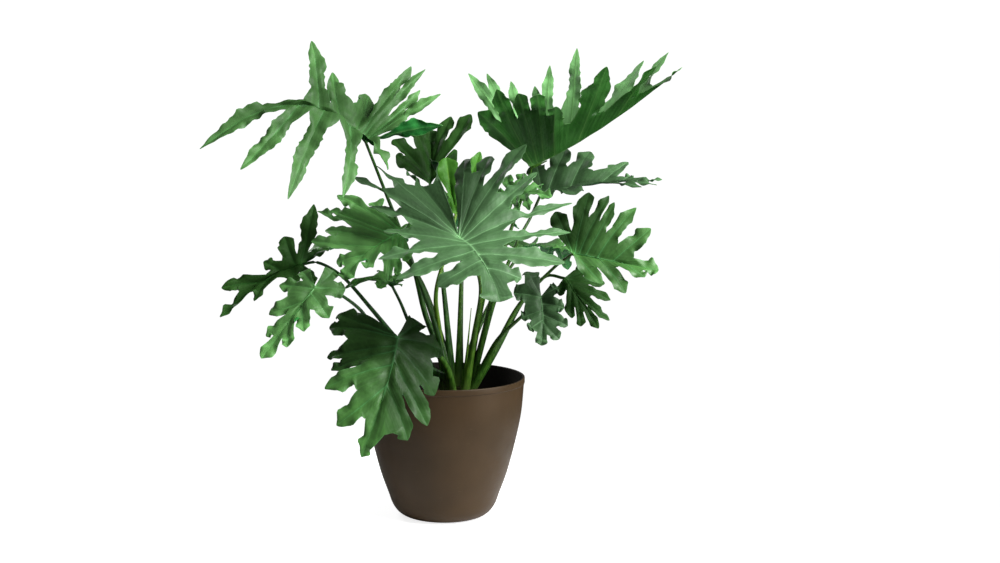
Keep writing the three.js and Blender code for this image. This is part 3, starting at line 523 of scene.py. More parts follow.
        (0, 110, 160, 500, 40, 6), (0.06, 120, 215, 490, 40, 10), (0.22, 160, 255, 465, 36, 12),
        (0.4, 205, 280, 440, 34, 12), (0.54, 255, 280, 430, 28, 8),
    ],
    right=[
        (0, 175, 85, 500, 40, 6), (0.06, 230, 90, 495, 40, 10), (0.22, 275, 125, 470, 36, 12),
        (0.4, 305, 160, 450, 34, 12), (0.54, 325, 205, 440, 28, 8),
    ],
    stalk=[(52, 30, 310), (95, 75, 400), (135, 118, 460)],
)]


def smooth(low, high, value):
    """0 up to low, 1 from high on, and a smooth rise between them."""
    t = min(max((value - low) / (high - low), 0), 1)
    return t * t * (3 - 2 * t)


def bend(start, control, end, t):
    """Quadratic Bezier point."""
    return start * (1 - t) ** 2 + control * (2 * t * (1 - t)) + end * (t * t)


def across(direction, tangent):
    """The part of a direction that is square to a tangent, with length 1."""
    return (direction - tangent * direction.dot(tangent)).normalized()


def along(curve, t):
    """Tangent of a curve that has an at()."""
    return (curve.at(t + TANGENT_STEP) - curve.at(t - TANGENT_STEP)).normalized()


class Midrib:
    """Passes through its middle point half-way along."""

    def __init__(self, blade):
        self.start = Vector(blade.joint)
        self.end = Vector(blade.tip)
        self.control = Vector(blade.middle) * 2 - self.start * 0.5 - self.end * 0.5
        self.facing = Vector(blade.facing).normalized()

    def at(self, t):
        return bend(self.start, self.control, self.end, t)

    def up(self, t):
        return across(self.facing, along(self, t))


class Rib:
    """Runs from the midrib to a lobe's tip, arched toward the upper side."""

    def __init__(self, midrib, lobe, side, index):
        self.place, x, y, z, self.width, arch, *notch = lobe
        self.notch = notch[0] if notch else None
        self.start = midrib.at(self.place)
        self.end = Vector((x, y, z))
        run = (self.end - self.start).normalized()
        turned = along(midrib, self.place).cross(run) * side
        self.first = (turned + midrib.up(self.place) * RIB_LEAN).normalized()
        self.length = (self.end - self.start).length
        sway = RIB_SWAY * self.length * math.sin(SWAY_STEP * index + side)
        self.control = (self.start + self.end) * 0.5 + self.first * arch + run.cross(self.first) * sway

    def at(self, s):
        return bend(self.start, self.control, self.end, s)


class EndRib:
    """The end lobe's rib is the last stretch of the midrib."""

    notch = None

    def __init__(self, midrib, blade):
        self.midrib = midrib
        self.place = blade.end_from
        self.width = blade.end_width
        self.first = midrib.up(self.place)
        self.length = (self.at(1) - self.at(0)).length

    def at(self, s):
        return self.midrib.at(self.place + s * (1 - self.place))


def rib_frame(rib, s):
    """Directions across a rib: the upper side, and the way round toward the next lobe."""
    tangent = along(rib, s)
    up = across(rib.first, tangent)
    return up, tangent.cross(up)


def waves(count, phase):
    """Height of a sine wave after a count of its lengths."""
    return math.sin(2 * math.pi * (count + phase))


def lobe_profile(u, phase, blunt, free):
    """Half the width of a lobe's free part, from its notch (0) to its tip (1), with its teeth."""
    body = LOBE_BASE + LOBE_BULGE * math.sin(math.pi * u ** LOBE_BULGE_PLACE)
    taper = max(1 - u ** blunt, 0) ** LOBE_TAPER
    teeth = TOOTH_DEPTH * waves(TEETH_PER_LOBE * u, phase)
    teeth += SMALL_TOOTH_DEPTH * waves(free / SMALL_TOOTH_LENGTH * u, SMALL_TOOTH_PHASE * phase)
    teeth *= 1 - (1 - TEETH_LEFT_AT_TIP) * smooth(*TEETH_FADE, u)
    return 0.5 * body * taper * (1 + teeth)


def distance_to_rib(place, rib):
    return min((rib.at(i / NEAR_STEPS) - place).length for i in range(1, NEAR_STEPS + 1))


class Sheet:
    """A blade as one surface without thickness, its faces' upper side outward.

    Its ribs are counted round the blade: up the left side, the end lobe, down the right side.
    Way 1 is toward the next lobe and way -1 toward the one before.
    """

    def __init__(self, blade):
        self.blade = blade
        self.midrib = Midrib(blade)
        left = [Rib(self.midrib, lobe, 1, i) for i, lobe in enumerate(blade.left)]
        right = [Rib(self.midrib, lobe, -1, i) for i, lobe in enumerate(blade.right)]
        self.ribs = [*left, EndRib(self.midrib, blade), *reversed(right)]
        self.last = len(self.ribs) - 1
        self.end_index = len(left)
        self.size = float(np.clip((self.midrib.end - self.midrib.start).length / LEAF_LENGTH, *LEAF_SIZES))
        self.points = []
        self.ridge = []
        self.edge = []
        self.faces = []
        self.corners = []
        self.seams = {}
        self.first_row = []
        for index in range(len(self.ribs)):
            self.make_lobe(index)
        self.close_middle()

    def add(self, place, ridge, edge):
        self.points.append(place)
        self.ridge.append(ridge)
        self.edge.append(edge)
        return len(self.points) - 1

    def vein_ridge(self, s):
        return VEIN_RIDGE * self.size * (1 - VEIN_RIDGE_LOSS * s)

    def round_place(self, index):
        """Going round the blade, places on the right count on past the end lobe."""
        place = self.ribs[index].place
        return place if index <= self.end_index else 2 * self.blade.end_from - place

    def midrib_at(self, place):
        return self.midrib.at(min(place, 2 * self.blade.end_from - place))

    def is_outer(self, index, way):
        return not 0 <= index + way <= self.last

    def joined_share(self, index, way):
        """How far along its length a lobe is joined to the lobe that way.

        Neighbours are joined to the same distance, which is a smaller share of the longer one.
        """
        seam = min(index, index + way)
        nearer = seam if seam < self.end_index else seam + 1
        notch = self.ribs[nearer].notch if 0 <= nearer <= self.last else None
        share = self.blade.web if notch is None else notch
        if self.is_outer(index, way):
            return share
        return share * min(1, self.ribs[index + way].length / self.ribs[index].length)

    def beside_seam(self, index, share):
        """The ribs on both sides of a seam, each with the place on it at a share of the seam."""
        before = (self.ribs[index], share * self.joined_share(index, 1))
        return before, (self.ribs[index + 1], share * self.joined_share(index + 1, -1))

    def seam_at(self, index, share):
        """Shared line between neighbouring lobes, from the midrib (0) out to their notch (1)."""
        (a, reach_a), (b, reach_b) = self.beside_seam(index, share)
        mean = self.midrib_at(0.5 * (self.round_place(index) + self.round_place(index + 1)))
        base = (a.at(0) + b.at(0)) * 0.5
        return (a.at(reach_a) + b.at(reach_b)) * 0.5 + (mean - base) * (1 - share)

    def seam_lift(self, index, share):
        """The blade swells between its ribs."""
        (a, reach_a), (b, reach_b) = self.beside_seam(index, share)
        up = (rib_frame(a, reach_a)[0] + rib_frame(b, reach_b)[0]).normalized()
        apart = (a.at(reach_a) - b.at(reach_b)).length
        return up, QUILT * 0.5 * apart * smooth(0, QUILT_START, share)

    def margin_at(self, index, s, u, way):
        """Margin of a lobe at a place along its rib without its ruffle, and the ruffle's height."""
        rib = self.ribs[index]
        centre = rib.at(s)
        phase = PHASE_STEP * index + (0.5 if way > 0 else 0)
        outer = self.is_outer(index, way)
        joined = self.joined_share(index, way)
        other = self.ribs[self.last - index if outer else index + way]
        room = ROOM_SHARE * distance_to_rib(centre, other)
        grow = OUTER_START + (1 - OUTER_START) * smooth(0, self.blade.web, s) if outer else 1
        free = rib.length * (1 - joined)
        half = min(rib.width * lobe_profile(u, phase, self.blade.blunt, free) * grow, room)
        wave = waves(WAVES_PER_LOBE * u, phase)
        wave += SMALL_WAVE * waves(free / SMALL_WAVE_LENGTH * u, SMALL_WAVE_PHASE * phase)
        wave *= self.blade.ruffle * smooth(0, WAVES_RISE, u)
        wave *= smooth(0, WAVES_FULL_WIDTH * rib.width, half)
        wave *= 1 - (1 - WAVES_LEFT_AT_TIP) * smooth(*WAVES_FADE, u)
        side = rib_frame(rib, s)[1] * (way * half)
        if outer:
            return centre + side, wave
        notch = self.seam_at(min(index, index + way), 1) - rib.at(joined)
        blend = smooth(0, NOTCH_LENGTH, u)
        return centre + notch.lerp(side, blend), wave * blend

    def margin_lift(self, index, u, way, up, half):
        """Swelling out to a free margin; at the notch it is that of the seam."""
        lift = QUILT * (1 - FREE_QUILT_LOSS * smooth(0, FREE_QUILT_END, u)) * half
        if self.is_outer(index, way):
            return up, lift
        seam_up, seam_lift = self.seam_lift(min(index, index + way), 1)
        blend = smooth(0, QUILT_BLEND, u)
        return seam_up.lerp(up, blend).normalized(), seam_lift + (lift - seam_lift) * blend

    def half_row(self, index, way, s, u, share):
        """Points from a rib out to one side: to a seam at a share of it, or to a free margin."""
        centre = self.ribs[index].at(s)
        up, _ = rib_frame(self.ribs[index], s)
        seam = (min(index, index + way), share)
        joined = share is not None and not self.is_outer(index, way)
        if joined:
            edge = self.seam_at(*seam)
            wave = 0
            edge_up, lift = self.seam_lift(*seam)
        else:
            edge, wave = self.margin_at(index, s, u, way)
            edge_up, lift = self.margin_lift(index, u, way, up, (edge - centre).length)
        lift *= self.blade.relief
        half = max((edge - centre).length, TINY)
        vein = VEIN_HALF * self.size * (1 - VEIN_NARROWING * s) / half
        inner = [min(vein, VEIN_COLUMN_LIMITS[0]), min(VEIN_SKIRT * vein, VEIN_COLUMN_LIMITS[1])]
        step = (1 - inner[1]) / OUTER_COLUMNS
        columns = inner + [inner[1] + step * (i + 1) for i in range(OUTER_COLUMNS)]
        openness = 0 if joined else FREE_OPENNESS * smooth(0, FREE_OPENNESS_END, u)
        row = []
        for c in columns:
            swell = lift * math.sin(0.5 * math.pi * c * (1 + openness))
            place = centre.lerp(edge, c)
            place += up.lerp(edge_up, c).normalized() * (swell + wave * c ** MARGIN_POWER)
            ridge = self.vein_ridge(s) * (1 - smooth(0, VEIN_SKIRT, c / vein))
            on_seam = joined and c == columns[-1]
            vertex = self.seams.get(seam) if on_seam else None
            if vertex is None:
                vertex = self.add(place, ridge, 0 if joined else c ** 3)
            if on_seam:
                self.seams[seam] = vertex
            row.append((vertex, way * c * half, c / vein))
        return row

    def make_row(self, index, places, u, share=None):
        """A row right across a lobe: points with their distance from the rib, also in vein widths."""
        middle = 0.5 * (places[0] + places[1])
        centre = self.add(self.ribs[index].at(middle), self.vein_ridge(middle), 0)
        before = self.half_row(index, -1, places[0], u, share)
        after = self.half_row(index, 1, places[1], u, share)
        return [*reversed(before), (centre, 0, 0), *after]

    def make_lobe(self, index):
        """Rows along a lobe: joined to its neighbours up to the notches, then free to its tip."""
        rib = self.ribs[index]
        joined = [self.joined_share(index, way) for way in (-1, 1)]
        middle = 0.5 * (joined[0] + joined[1])
        length = (rib.at(0) - rib.at(1)).length
        rows = []
        for i in range(JOINED_ROWS):
            share = JOINED_START + (1 - JOINED_START) * (i / (JOINED_ROWS - 1)) ** JOINED_CROWDING
            row = self.make_row(index, [share * j for j in joined], 0, share)
            rows.append((row, length * share * middle))
        free = (rib.at(middle) - rib.at(1)).length
        count = int(np.clip(free / FREE_ROW_STEP, *FREE_ROWS))
        for i in range(1, count):
            x = i / count
            u = FREE_EVENNESS * x + (1 - FREE_EVENNESS) * 0.5 * (1 - math.cos(math.pi * x))
            row = self.make_row(index, [j + u * (1 - j) for j in joined], u)
            rows.append((row, length * (middle + u * (1 - middle))))
        for (inner, near), (outer, far) in zip(rows, rows[1:]):
            for a, b, c, d in zip(inner, inner[1:], outer[1:], outer):
                self.add_face((a, near), (d, far), (c, far), (b, near))
        tip = (self.add(rib.at(1), 0, 1), 0, 0)
        outermost, near = rows[-1]
        for a, b in zip(outermost, outermost[1:]):
            self.add_face((a, near), (tip, length), (b, near))
        self.note_first_row(index, rows[0][0])

    def add_face(self, *corners):
        self.faces.append([vertex[0] for vertex, _ in corners])
        self.corners.append([(along_rib, vertex[1], vertex[2]) for vertex, along_rib in corners])

    def note_first_row(self, index, row):
        """Places round the midrib of a lobe's first row, for closing the middle.

        The veins there are measured from the midrib too.
        """
        place = self.round_place(index)
        before = 0.5 * (place + self.round_place(index - 1)) if index else place - OUTER_LEAD
        after = place + OUTER_LEAD
        if index < self.last:
            after = 0.5 * (place + self.round_place(index + 1))
        columns = len(row) // 2
        for i, (vertex, _, widths) in enumerate(row):
            if i == 0 and index:
                continue
            toward = before if i < columns else after
            at = place + (toward - place) * (abs(i - columns) / columns)
            half = MIDRIB_HALF * self.size * (1 - MIDRIB_NARROWING * min(at, 2 * self.blade.end_from - at))
            away = (self.points[vertex] - self.midrib_at(max(at, 0))).length
            widths = min(widths, max(away / half, MIDRIB_NEAREST))
            self.first_row.append((at, vertex, (0, away, widths)))

    def close_middle(self):
        """The midrib, out to the end lobe and back, closes the middle of the sheet."""
        end_from = self.blade.end_from
        outward = []
        for i in range(MIDRIB_STATIONS + 1):
            place = end_from * i / MIDRIB_STATIONS
            ridge = MIDRIB_RIDGE * self.size * (1 - MIDRIB_RIDGE_LOSS * place)
            outward.append((place, self.add(self.midrib.at(place), ridge, 0), (0, 0, 0)))
        homeward = [(2 * end_from - place, vertex, facts) for place, vertex, facts in outward[-2::-1]]
        middle = outward + homeward
        row = self.first_row
        a = b = 0
        while a < len(middle) - 1 or b < len(row) - 1:
            if b == len(row) - 1 or (a < len(middle) - 1 and middle[a + 1][0] < row[b + 1][0]):
                corners = [middle[a], row[b], middle[a + 1]]
                a += 1
            else:
                corners = [middle[a], row[b], row[b + 1]]
                b += 1
            self.faces.append([vertex for _, vertex, _ in corners])
            self.corners.append([facts for _, _, facts in corners])


def thicken(sheet):
    """Both sides of a sheet and the wall round its edge. The underside carries the ridges."""
    points = np.array(sheet.points)
    normals = np.zeros_like(points)
    edges = {}
    for face in sheet.faces:
        corners = points[face]
        normal = np.cross(corners[2] - corners[0], corners[-1] - corners[1])
        for edge in zip(face, face[1:] + face[:1]):
            normals[edge[0]] += normal
            edges[edge] = True
    normals /= np.maximum(np.linalg.norm(normals, axis=1), TINY ** 2)[:, None]
    wrinkles = np.array([noise.noise(Vector(p) / WRINKLE_LENGTH) for p in points])
    points += normals * (WRINKLE * sheet.blade.relief * wrinkles)[:, None]
    ridge = np.array(sheet.ridge)
    half = 0.5 * LEAF_THICKNESS
    top = points + normals * (half - TOP_GROOVE * ridge)[:, None]
    under = points - normals * (half + ridge)[:, None]
    count = len(points)
    faces = sheet.faces + [[vertex + count for vertex in reversed(face)] for face in sheet.faces]
    corners = sheet.corners + [facts[::-1] for facts in sheet.corners]
    for start, end in edges:
        if (end, start) not in edges:
            faces.append([end, start, start + count, end + count])
            corners.append([(0, 0, NO_VEIN)] * 4)
    kinds = [0 if i < len(sheet.faces) else 1 for i in range(len(faces))]
    return np.concatenate([top, under]), faces, corners, kinds


def painted_shading_of(sheet):
    """Painted light and shade at each point of a blade, from the values given round its lobes, and paler near
    the joint.
    """
    blade = sheet.blade
    stops = np.linspace(0, sheet.last, len(blade.painted_shading))
    painted_shading = np.interp(np.arange(sheet.last + 1), stops, blade.painted_shading)
    gain = np.linspace(*blade.painted_tip_shading, len(SHADE_PLACES))
    ribs = np.array([[rib.at(s) for s in SHADE_PLACES] for rib in sheet.ribs])
    points = np.array(sheet.points)
    apart = np.linalg.norm(points[:, None, None] - ribs[None], axis=3)
    nearness = 1 / (apart + SHADE_BLUR) ** SHADE_FALL
    values = (nearness * np.outer(painted_shading, gain)).sum(axis=(1, 2)) / nearness.sum(axis=(1, 2))
    joint = np.linalg.norm(points - np.array(blade.joint), axis=1)
    return values * LEAF_GAIN * (1 + JOINT_GAIN * np.exp(-(joint / JOINT_REACH) ** 2))


def link(name, data):
    """A new object in the scene."""
    made = bpy.data.objects.new(name, data)
    bpy.context.scene.collection.objects.link(made)
    return made


def make_piece(name, points, faces, materials, replaced, kinds=None):
    """A smooth-shaded mesh piece from points in millimetres, standing for CAD nodes."""
    mesh = bpy.data.meshes.new(name)
    mesh.from_pydata([tuple(MM * float(x) for x in p) for p in points], [], faces)
    for material in materials:
        mesh.materials.append(material)
    mesh.polygons.foreach_set("use_smooth", [True] * len(mesh.polygons))
    if kinds:
        mesh.polygons.foreach_set("material_index", kinds)
    mesh.update()
    piece = link(name, mesh)
    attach(piece, "root")
    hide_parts(replaced)
    return mesh


def note_points(mesh, name, values):
    """Keeps one number for each point, for the materials to read."""
    mesh.attributes.new(name, "FLOAT", "POINT").data.foreach_set("value", [float(v) for v in values])


def note_corners(mesh, name, corners):
    """Keeps three numbers for each face corner, for the materials to read."""
    flat = [float(x) for face in corners for facts in face for x in facts]
    mesh.attributes.new(name, "FLOAT_VECTOR", "CORNER").data.foreach_set("vector", flat)


class Nodes:
    """The node tree of a material or a world, with short ways to add what they need here."""

    def __init__(self, owner):
        self.owner = owner
        owner.use_nodes = True
        self.tree = owner.node_tree
        self.shader = self.tree.nodes.get("Principled BSDF")

    def feed(self, socket, value):
        if isinstance(value, bpy.types.NodeSocket):
            self.tree.links.new(value, socket)
        else:
            socket.default_value = value

    def add(self, kind, inputs=(), **settings):
        """A node with its inputs fed, given in their order or by their names."""
        node = self.tree.nodes.new(kind)
        for key, value in settings.items():
            setattr(node, key, value)
        pairs = inputs.items() if isinstance(inputs, dict) else enumerate(inputs)
        for key, value in pairs:
            self.feed(node.inputs[key], value)
        return node

    def math(self, operation, *values):
        return self.add("ShaderNodeMath", values, operation=operation).outputs[0]

    def times(self, a, b):
        return self.math("MULTIPLY", a, b)

    def plus(self, a, b):
        return self.math("ADD", a, b)

    def ramp(self, value, low, high, start=0.0, end=1.0):
        """Smooth step of a value from low to high, giving start to end."""
        inputs = (value, low, high, start, end)
        return self.add("ShaderNodeMapRange", inputs, interpolation_type="SMOOTHSTEP").outputs[0]

    def noise(self, scale, detail, stretch=None, place=None):
        """Noise at the place given, or else on the object itself."""
        place = place or self.add("ShaderNodeTexCoord").outputs["Object"]
        if stretch:
            place = self.add("ShaderNodeMapping", {"Vector": place, "Scale": stretch}).outputs[0]
        inputs = {"Vector": place, "Scale": scale, "Detail": detail}
        return self.add("ShaderNodeTexNoise", inputs).outputs["Fac"]

    def mix(self, share, a, b):
        return self.add("ShaderNodeMix", {0: share, 6: a, 7: b}, data_type="RGBA").outputs[2]

    def read(self, name, output="Fac"):
        return self.add("ShaderNodeAttribute", attribute_name=name).outputs[output]

    def bump(self, height, distance, strength, **below):
        inputs = {"Strength": strength, "Distance": distance, "Height": height, **below}
        return self.add("ShaderNodeBump", inputs).outputs[0]

    def finish(self, colour, roughness, specular, normal=None):
        self.feed(self.shader.inputs["Base Color"], colour)
        self.feed(self.shader.inputs["Roughness"], roughness)
        self.feed(self.shader.inputs["Specular IOR Level"], specular)
        if normal:
            self.feed(self.shader.inputs["Normal"], normal)
        return self.owner


def material_nodes(name):
    return Nodes(bpy.data.materials.new(name))


def srgb(red, green, blue):
    """Linear colour from screen values."""
    def linear(value):
        value /= 255
        return value / 12.92 if value <= 0.04045 else ((value + 0.055) / 1.055) ** 2.4
    return (linear(red), linear(green), linear(blue), 1)


def leaf_side(name, light, dark, vein_colour, sheen, roughness, side):
    """Material of a blade's upper side (side 1) or underside (side -1).

    The corners' "lobe" holds the distance along the rib and across it in millimetres, and the
    distance from the nearest vein in vein widths; the points' "margin" grows toward the edge.
    """
    n = material_nodes(name)
    lobe = n.read("lobe", "Vector")
    along_rib, across_rib, widths = n.add("ShaderNodeSeparateXYZ", [lobe]).outputs
    off_rib = n.math("ABSOLUTE", across_rib)
    # Streaks along the lobes: in the colour they are painted light and shade of folds, in the bump real
    # relief
    streak = n.ramp(n.noise(1, 2, (0.013, 0.14, 0), lobe), 0.3, 0.7)
    slant = n.math("SUBTRACT", along_rib, n.times(off_rib, 0.9))
    branches = n.plus(n.math("DIVIDE", slant, BRANCH_SPACING), n.times(n.noise(45, 3), 1.4))
    ladder = n.math("PINGPONG", branches, 0.5)
    branch_fade = n.times(n.ramp(off_rib, 0.5, 3), n.ramp(off_rib, 16, 34, 1, 0.3))
    branch = n.times(n.ramp(ladder, 0, 0.09, 1, 0), branch_fade)
    tone = n.plus(n.times(n.noise(26, 4), 0.7), n.times(n.noise(8, 2), 0.5))
    # The random tone, with the streaks' painted fold light and shade added
    colour = n.mix(n.ramp(n.plus(tone, n.times(streak, 0.3)), 0.5, 1), dark, light)
    strength = n.ramp(along_rib, 0, 90, 0.95, 0.5)
    halo = n.times(n.ramp(widths, 0.8, 6, 0.22, 0), strength)
    vein = n.times(n.ramp(widths, 0.5, 1.3, 1, 0), strength)
    # Painted highlight: the margins are lightened toward the vein colour, as if their edges catch the light
    rim = n.ramp(n.read("margin"), 0.7, 1, 0, 0.4)
    for share in (n.times(branch, 0.07), halo, vein, rim):
        colour = n.mix(share, colour, vein_colour)
    # Painted light and shade: the colour is scaled darker where the leaf lies in shade and lighter where it
    # is lit, and the sheen is weakened where it is darker
    painted_shading = n.read("painted_shading")
    colour_with_painted_shading = n.add("ShaderNodeVectorMath", {0: colour, "Scale": painted_shading}, operation="SCALE")
    height = n.times(n.times(n.ramp(ladder, 0, 0.5), branch_fade), 0.3 * side)
    height = n.plus(n.plus(height, n.times(n.noise(60, 1), 1.8)), n.times(streak, 0.7))
    rough = n.ramp(n.noise(90, 3), 0.3, 0.7, roughness - 0.05, roughness + 0.08)
    specular = n.times(n.math("MINIMUM", painted_shading, 1), sheen)
    return n.finish(colour_with_painted_shading.outputs[0], rough, specular, n.bump(height, 0.0006, 0.5))


def leaf_materials(look):
    *colours, sheen = LOOKS[look]
    light, dark, vein, under = (srgb(*colour) for colour in colours)
    under_dark = (*(UNDERSIDE_DARKENING * x for x in under[:3]), 1)
    return [
        leaf_side(f"leaf_upper_{look}", light, dark, vein, sheen, UPPER_ROUGHNESS, 1),
        leaf_side(f"leaf_under_{look}", under, under_dark, vein, sheen, UNDER_ROUGHNESS, -1),
    ]


def stalk_material():
    n = material_nodes("leaf_stalk")
    streak = n.noise(40, 4, (6, 6, 0.5))
    tone = n.read("tone")
    dark = n.mix(tone, srgb(18, 58, 14), srgb(70, 118, 24))
    light = n.mix(tone, srgb(44, 98, 28), srgb(118, 158, 46))
    colour = n.mix(n.ramp(streak, 0.35, 0.7), dark, light)
    colour = n.mix(n.ramp(n.read("rise"), 0, 0.16, 0.55, 0), colour, srgb(120, 150, 74))
    normal = n.bump(n.noise(120, 2, (8, 8, 0.6)), 0.0006, 0.6)
    return n.finish(colour, n.ramp(streak, 0.3, 0.7, 0.34, 0.5), 0.35, normal)


def crown_material():
    n = material_nodes("crown_bark")
    scars = n.noise(30, 5, (1, 1, 3.5))
    colour = n.mix(n.ramp(scars, 0.35, 0.65), srgb(40, 36, 20), srgb(78, 76, 40))
    return n.finish(colour, 0.8, 0.3, n.bump(n.noise(160, 5, (1, 1, 2.5)), 0.0015, 0.8))


def pot_outside_material():
    n = material_nodes("pot_plastic")
    swirl = n.noise(16, 4, (1, 1, 0.25))
    scuff = n.ramp(n.noise(55, 6, (1, 1, 3)), 0.66, 0.74)
    colour = n.mix(n.ramp(n.noise(9, 3), 0.3, 0.7), srgb(61, 47, 29), srgb(69, 53, 34))
    colour = n.mix(n.times(n.ramp(swirl, 0.4, 0.75), 0.25), colour, srgb(58, 44, 30))
    colour = n.mix(n.times(scuff, 0.18), colour, srgb(98, 80, 62))
    rough = n.plus(n.ramp(n.noise(26, 4), 0.3, 0.7, 0.4, 0.5), n.times(scuff, 0.12))
    normal = n.bump(n.noise(900, 2), 0.00012, 0.6, Normal=n.bump(swirl, 0.0006, 0.35))
    return n.finish(colour, rough, 0.2, normal)


# Painted shade: the inside of the pot is coloured far darker than its outside, for the shade that falls in it
def pot_inside_painted_shade_material():
    n = material_nodes("pot_inside_painted_shade")
    colour = n.mix(n.ramp(n.noise(14, 4), 0.35, 0.7), srgb(26, 21, 16), srgb(38, 31, 24))
    return n.finish(colour, 0.7, 0.3, n.bump(n.noise(500, 2), 0.0002, 0.5))


def soil_material():
    n = material_nodes("potting_mix")
    chip = n.ramp(n.noise(240, 3), 0.6, 0.72)
    colour = n.mix(n.ramp(n.noise(60, 6), 0.35, 0.65), srgb(28, 20, 14), srgb(62, 46, 33))
    colour = n.mix(n.times(chip, 0.4), colour, srgb(104, 80, 56))
    return n.finish(colour, 0.95, 0.2, n.bump(n.noise(420, 5), 0.0015, 0.9))


def angles(count):
    return [2 * math.pi * k / count for k in range(count)]


def loft(rings):
    """Points and faces of the skin over rings of points, where a lone point is a pole."""
    points = [point for ring in rings for point in ring]
    faces = []
    low = 0
    for lower, upper in zip(rings, rings[1:]):
        high = low + len(lower)
        count = max(len(lower), len(upper))
        for k in range(count):
            following = (k + 1) % count
            if len(lower) == 1:
                faces.append([low, high + following, high + k])
            elif len(upper) == 1:
                faces.append([low + k, low + following, high])
            else:
                faces.append([low + k, low + following, high + following, high + k])
        low = high
    return points, faces


def join(points, faces, body):
    """Puts a body's points and faces with those of other bodies."""
    start = len(points)
    points.extend(body[0])
    faces.extend([start + vertex for vertex in face] for face in body[1])


def turn(profile, segments):
    """A round body; its profile of radius and height runs from the axis out and back to it."""
    rings = []
    for radius, height in profile:
        around = angles(segments if radius > TINY else 1)
        rings.append([(radius * math.cos(a), radius * math.sin(a), height) for a in around])
    return loft(rings)


def spline(points, count=None):
    """Evenly parted points of a smooth curve through the given ones (uniform Catmull-Rom).

    Without a count they are about STALK_STEP apart.
    """
    given = [Vector(p) for p in points]
    given = [given[0] * 2 - given[1], *given, given[-1] * 2 - given[-2]]
    made = []
    for a, b, c, d in zip(given, given[1:], given[2:], given[3:]):
        for t in (i / SPLINE_STEPS for i in range(SPLINE_STEPS)):
            place = b * (2 * t ** 3 - 3 * t ** 2 + 1) + c * (3 * t ** 2 - 2 * t ** 3)
            made.append(place + (c - a) * 0.5 * (t ** 3 - 2 * t ** 2 + t) + (d - b) * 0.5 * (t ** 3 - t ** 2))
    made.append(given[-2])
    coordinates = np.array(made)
    lengths = np.r_[0, np.cumsum(np.linalg.norm(np.diff(coordinates, axis=0), axis=1))]
    count = count or max(int(lengths[-1] / STALK_STEP), STALK_LEAST_POINTS)
    wanted = np.linspace(0, lengths[-1], count)
    return [Vector(p) for p in zip(*(np.interp(wanted, lengths, axis) for axis in coordinates.T))]


def outer_wall():
    """The pot's outside from the foot to under the lip: a round heel, then the side."""
    controls = [Vector(p) for p in ((POT_FOOT_RADIUS, 0), (POT_HEEL_CONTROL, 0), POT_SIDE[0])]
    heel = [bend(*controls, i / POT_HEEL_STEPS) for i in range(POT_HEEL_STEPS)]
    return [tuple(p) for p in heel + spline(POT_SIDE, POT_SIDE_POINTS)]


def inset(outline, distance):
    """Outline moved inward, square to itself."""
    moved = []
    for i, (radius, height) in enumerate(outline):
        r0, h0 = outline[max(i - 1, 0)]
        r1, h1 = outline[min(i + 1, len(outline) - 1)]
        share = distance / math.hypot(r1 - r0, h1 - h0)
        moved.append((radius - share * (h1 - h0), height + share * (r1 - r0)))
    return moved


def lip_round(radius, way):
    """Quarter round at the top of the rim, upward."""
    points = []
    for i in range(LIP_ROUND_STEPS + 1):
        angle = 0.5 * math.pi * i / LIP_ROUND_STEPS
        out = radius - way * LIP_ROUND * (1 - math.cos(angle))
        points.append((out, POT_HEIGHT - LIP_ROUND * (1 - math.sin(angle))))
    return points


def make_pot():
    wall = outer_wall()
    inner = [p for p in inset(wall, POT_WALL) if p[1] > POT_FLOOR]
    step = [(radius, POT_HEIGHT - LIP_HEIGHT + rise) for radius, rise in LIP_STEP]
    outside = [(0, 0), (0.5 * POT_FOOT_RADIUS, 0), *wall, *step, *lip_round(POT_RIM_RADIUS, 1)]
    inner_lip = lip_round(POT_RIM_RADIUS - POT_WALL - LIP_EXTRA, -1)
    inside = [*inner_lip[::-1], *inner[::-1], (POT_FOOT_RADIUS, POT_FLOOR), (0, POT_FLOOR)]
    points, faces = turn(outside + inside, POT_SEGMENTS)
    outside_faces = (len(outside) - 1) * POT_SEGMENTS
    kinds = [0 if i < outside_faces else 1 for i in range(len(faces))]
    # The inside faces get the painted shade material
    materials = [pot_outside_material(), pot_inside_painted_shade_material()]
    mesh = make_piece("plant_pot", points, faces, materials, "pot", kinds)
    mesh.set_sharp_from_angle(angle=math.radians(POT_SHARP))


def crumb(centre, radius, draw):
    """A rough little lump of mix: a stretched, dented ball of few faces."""
    stretch = [radius * draw.uniform(*CRUMB_STRETCH) for _ in range(3)]
    stretch[2] *= CRUMB_FLATNESS
    turned = draw.uniform(0, math.pi)
    pole = Vector((0, 0, stretch[2]))
    rings = [[centre - pole]]
    for i in range(1, CRUMB_RINGS):
        tilt = math.pi * i / CRUMB_RINGS - 0.5 * math.pi
        ring = []
        for angle in angles(CRUMB_SPOKES):
            x = stretch[0] * math.cos(tilt) * math.cos(turned + angle)
            y = stretch[1] * math.cos(tilt) * math.sin(turned + angle)
            ring.append(centre + Vector((x, y, stretch[2] * math.sin(tilt))) * draw.uniform(*CRUMB_DENT))
        rings.append(ring)
    return loft([*rings, [centre + pole]])


def soil_height(x, y, top_radius):
    reach = min(math.hypot(x, y) / top_radius, 1)
    knee, share = SOIL_SHOULDER
    rise = share + (1 - share) * (1 - reach / knee) if reach < knee else share * (1 - reach) / (1 - knee)
    rough = sum(height * noise.noise(Vector((x, y, at)) * often) for height, often, at in SOIL_WAVES)
    return SOIL_LEVEL + SOIL_RISE * rise + rough - SOIL_SINK


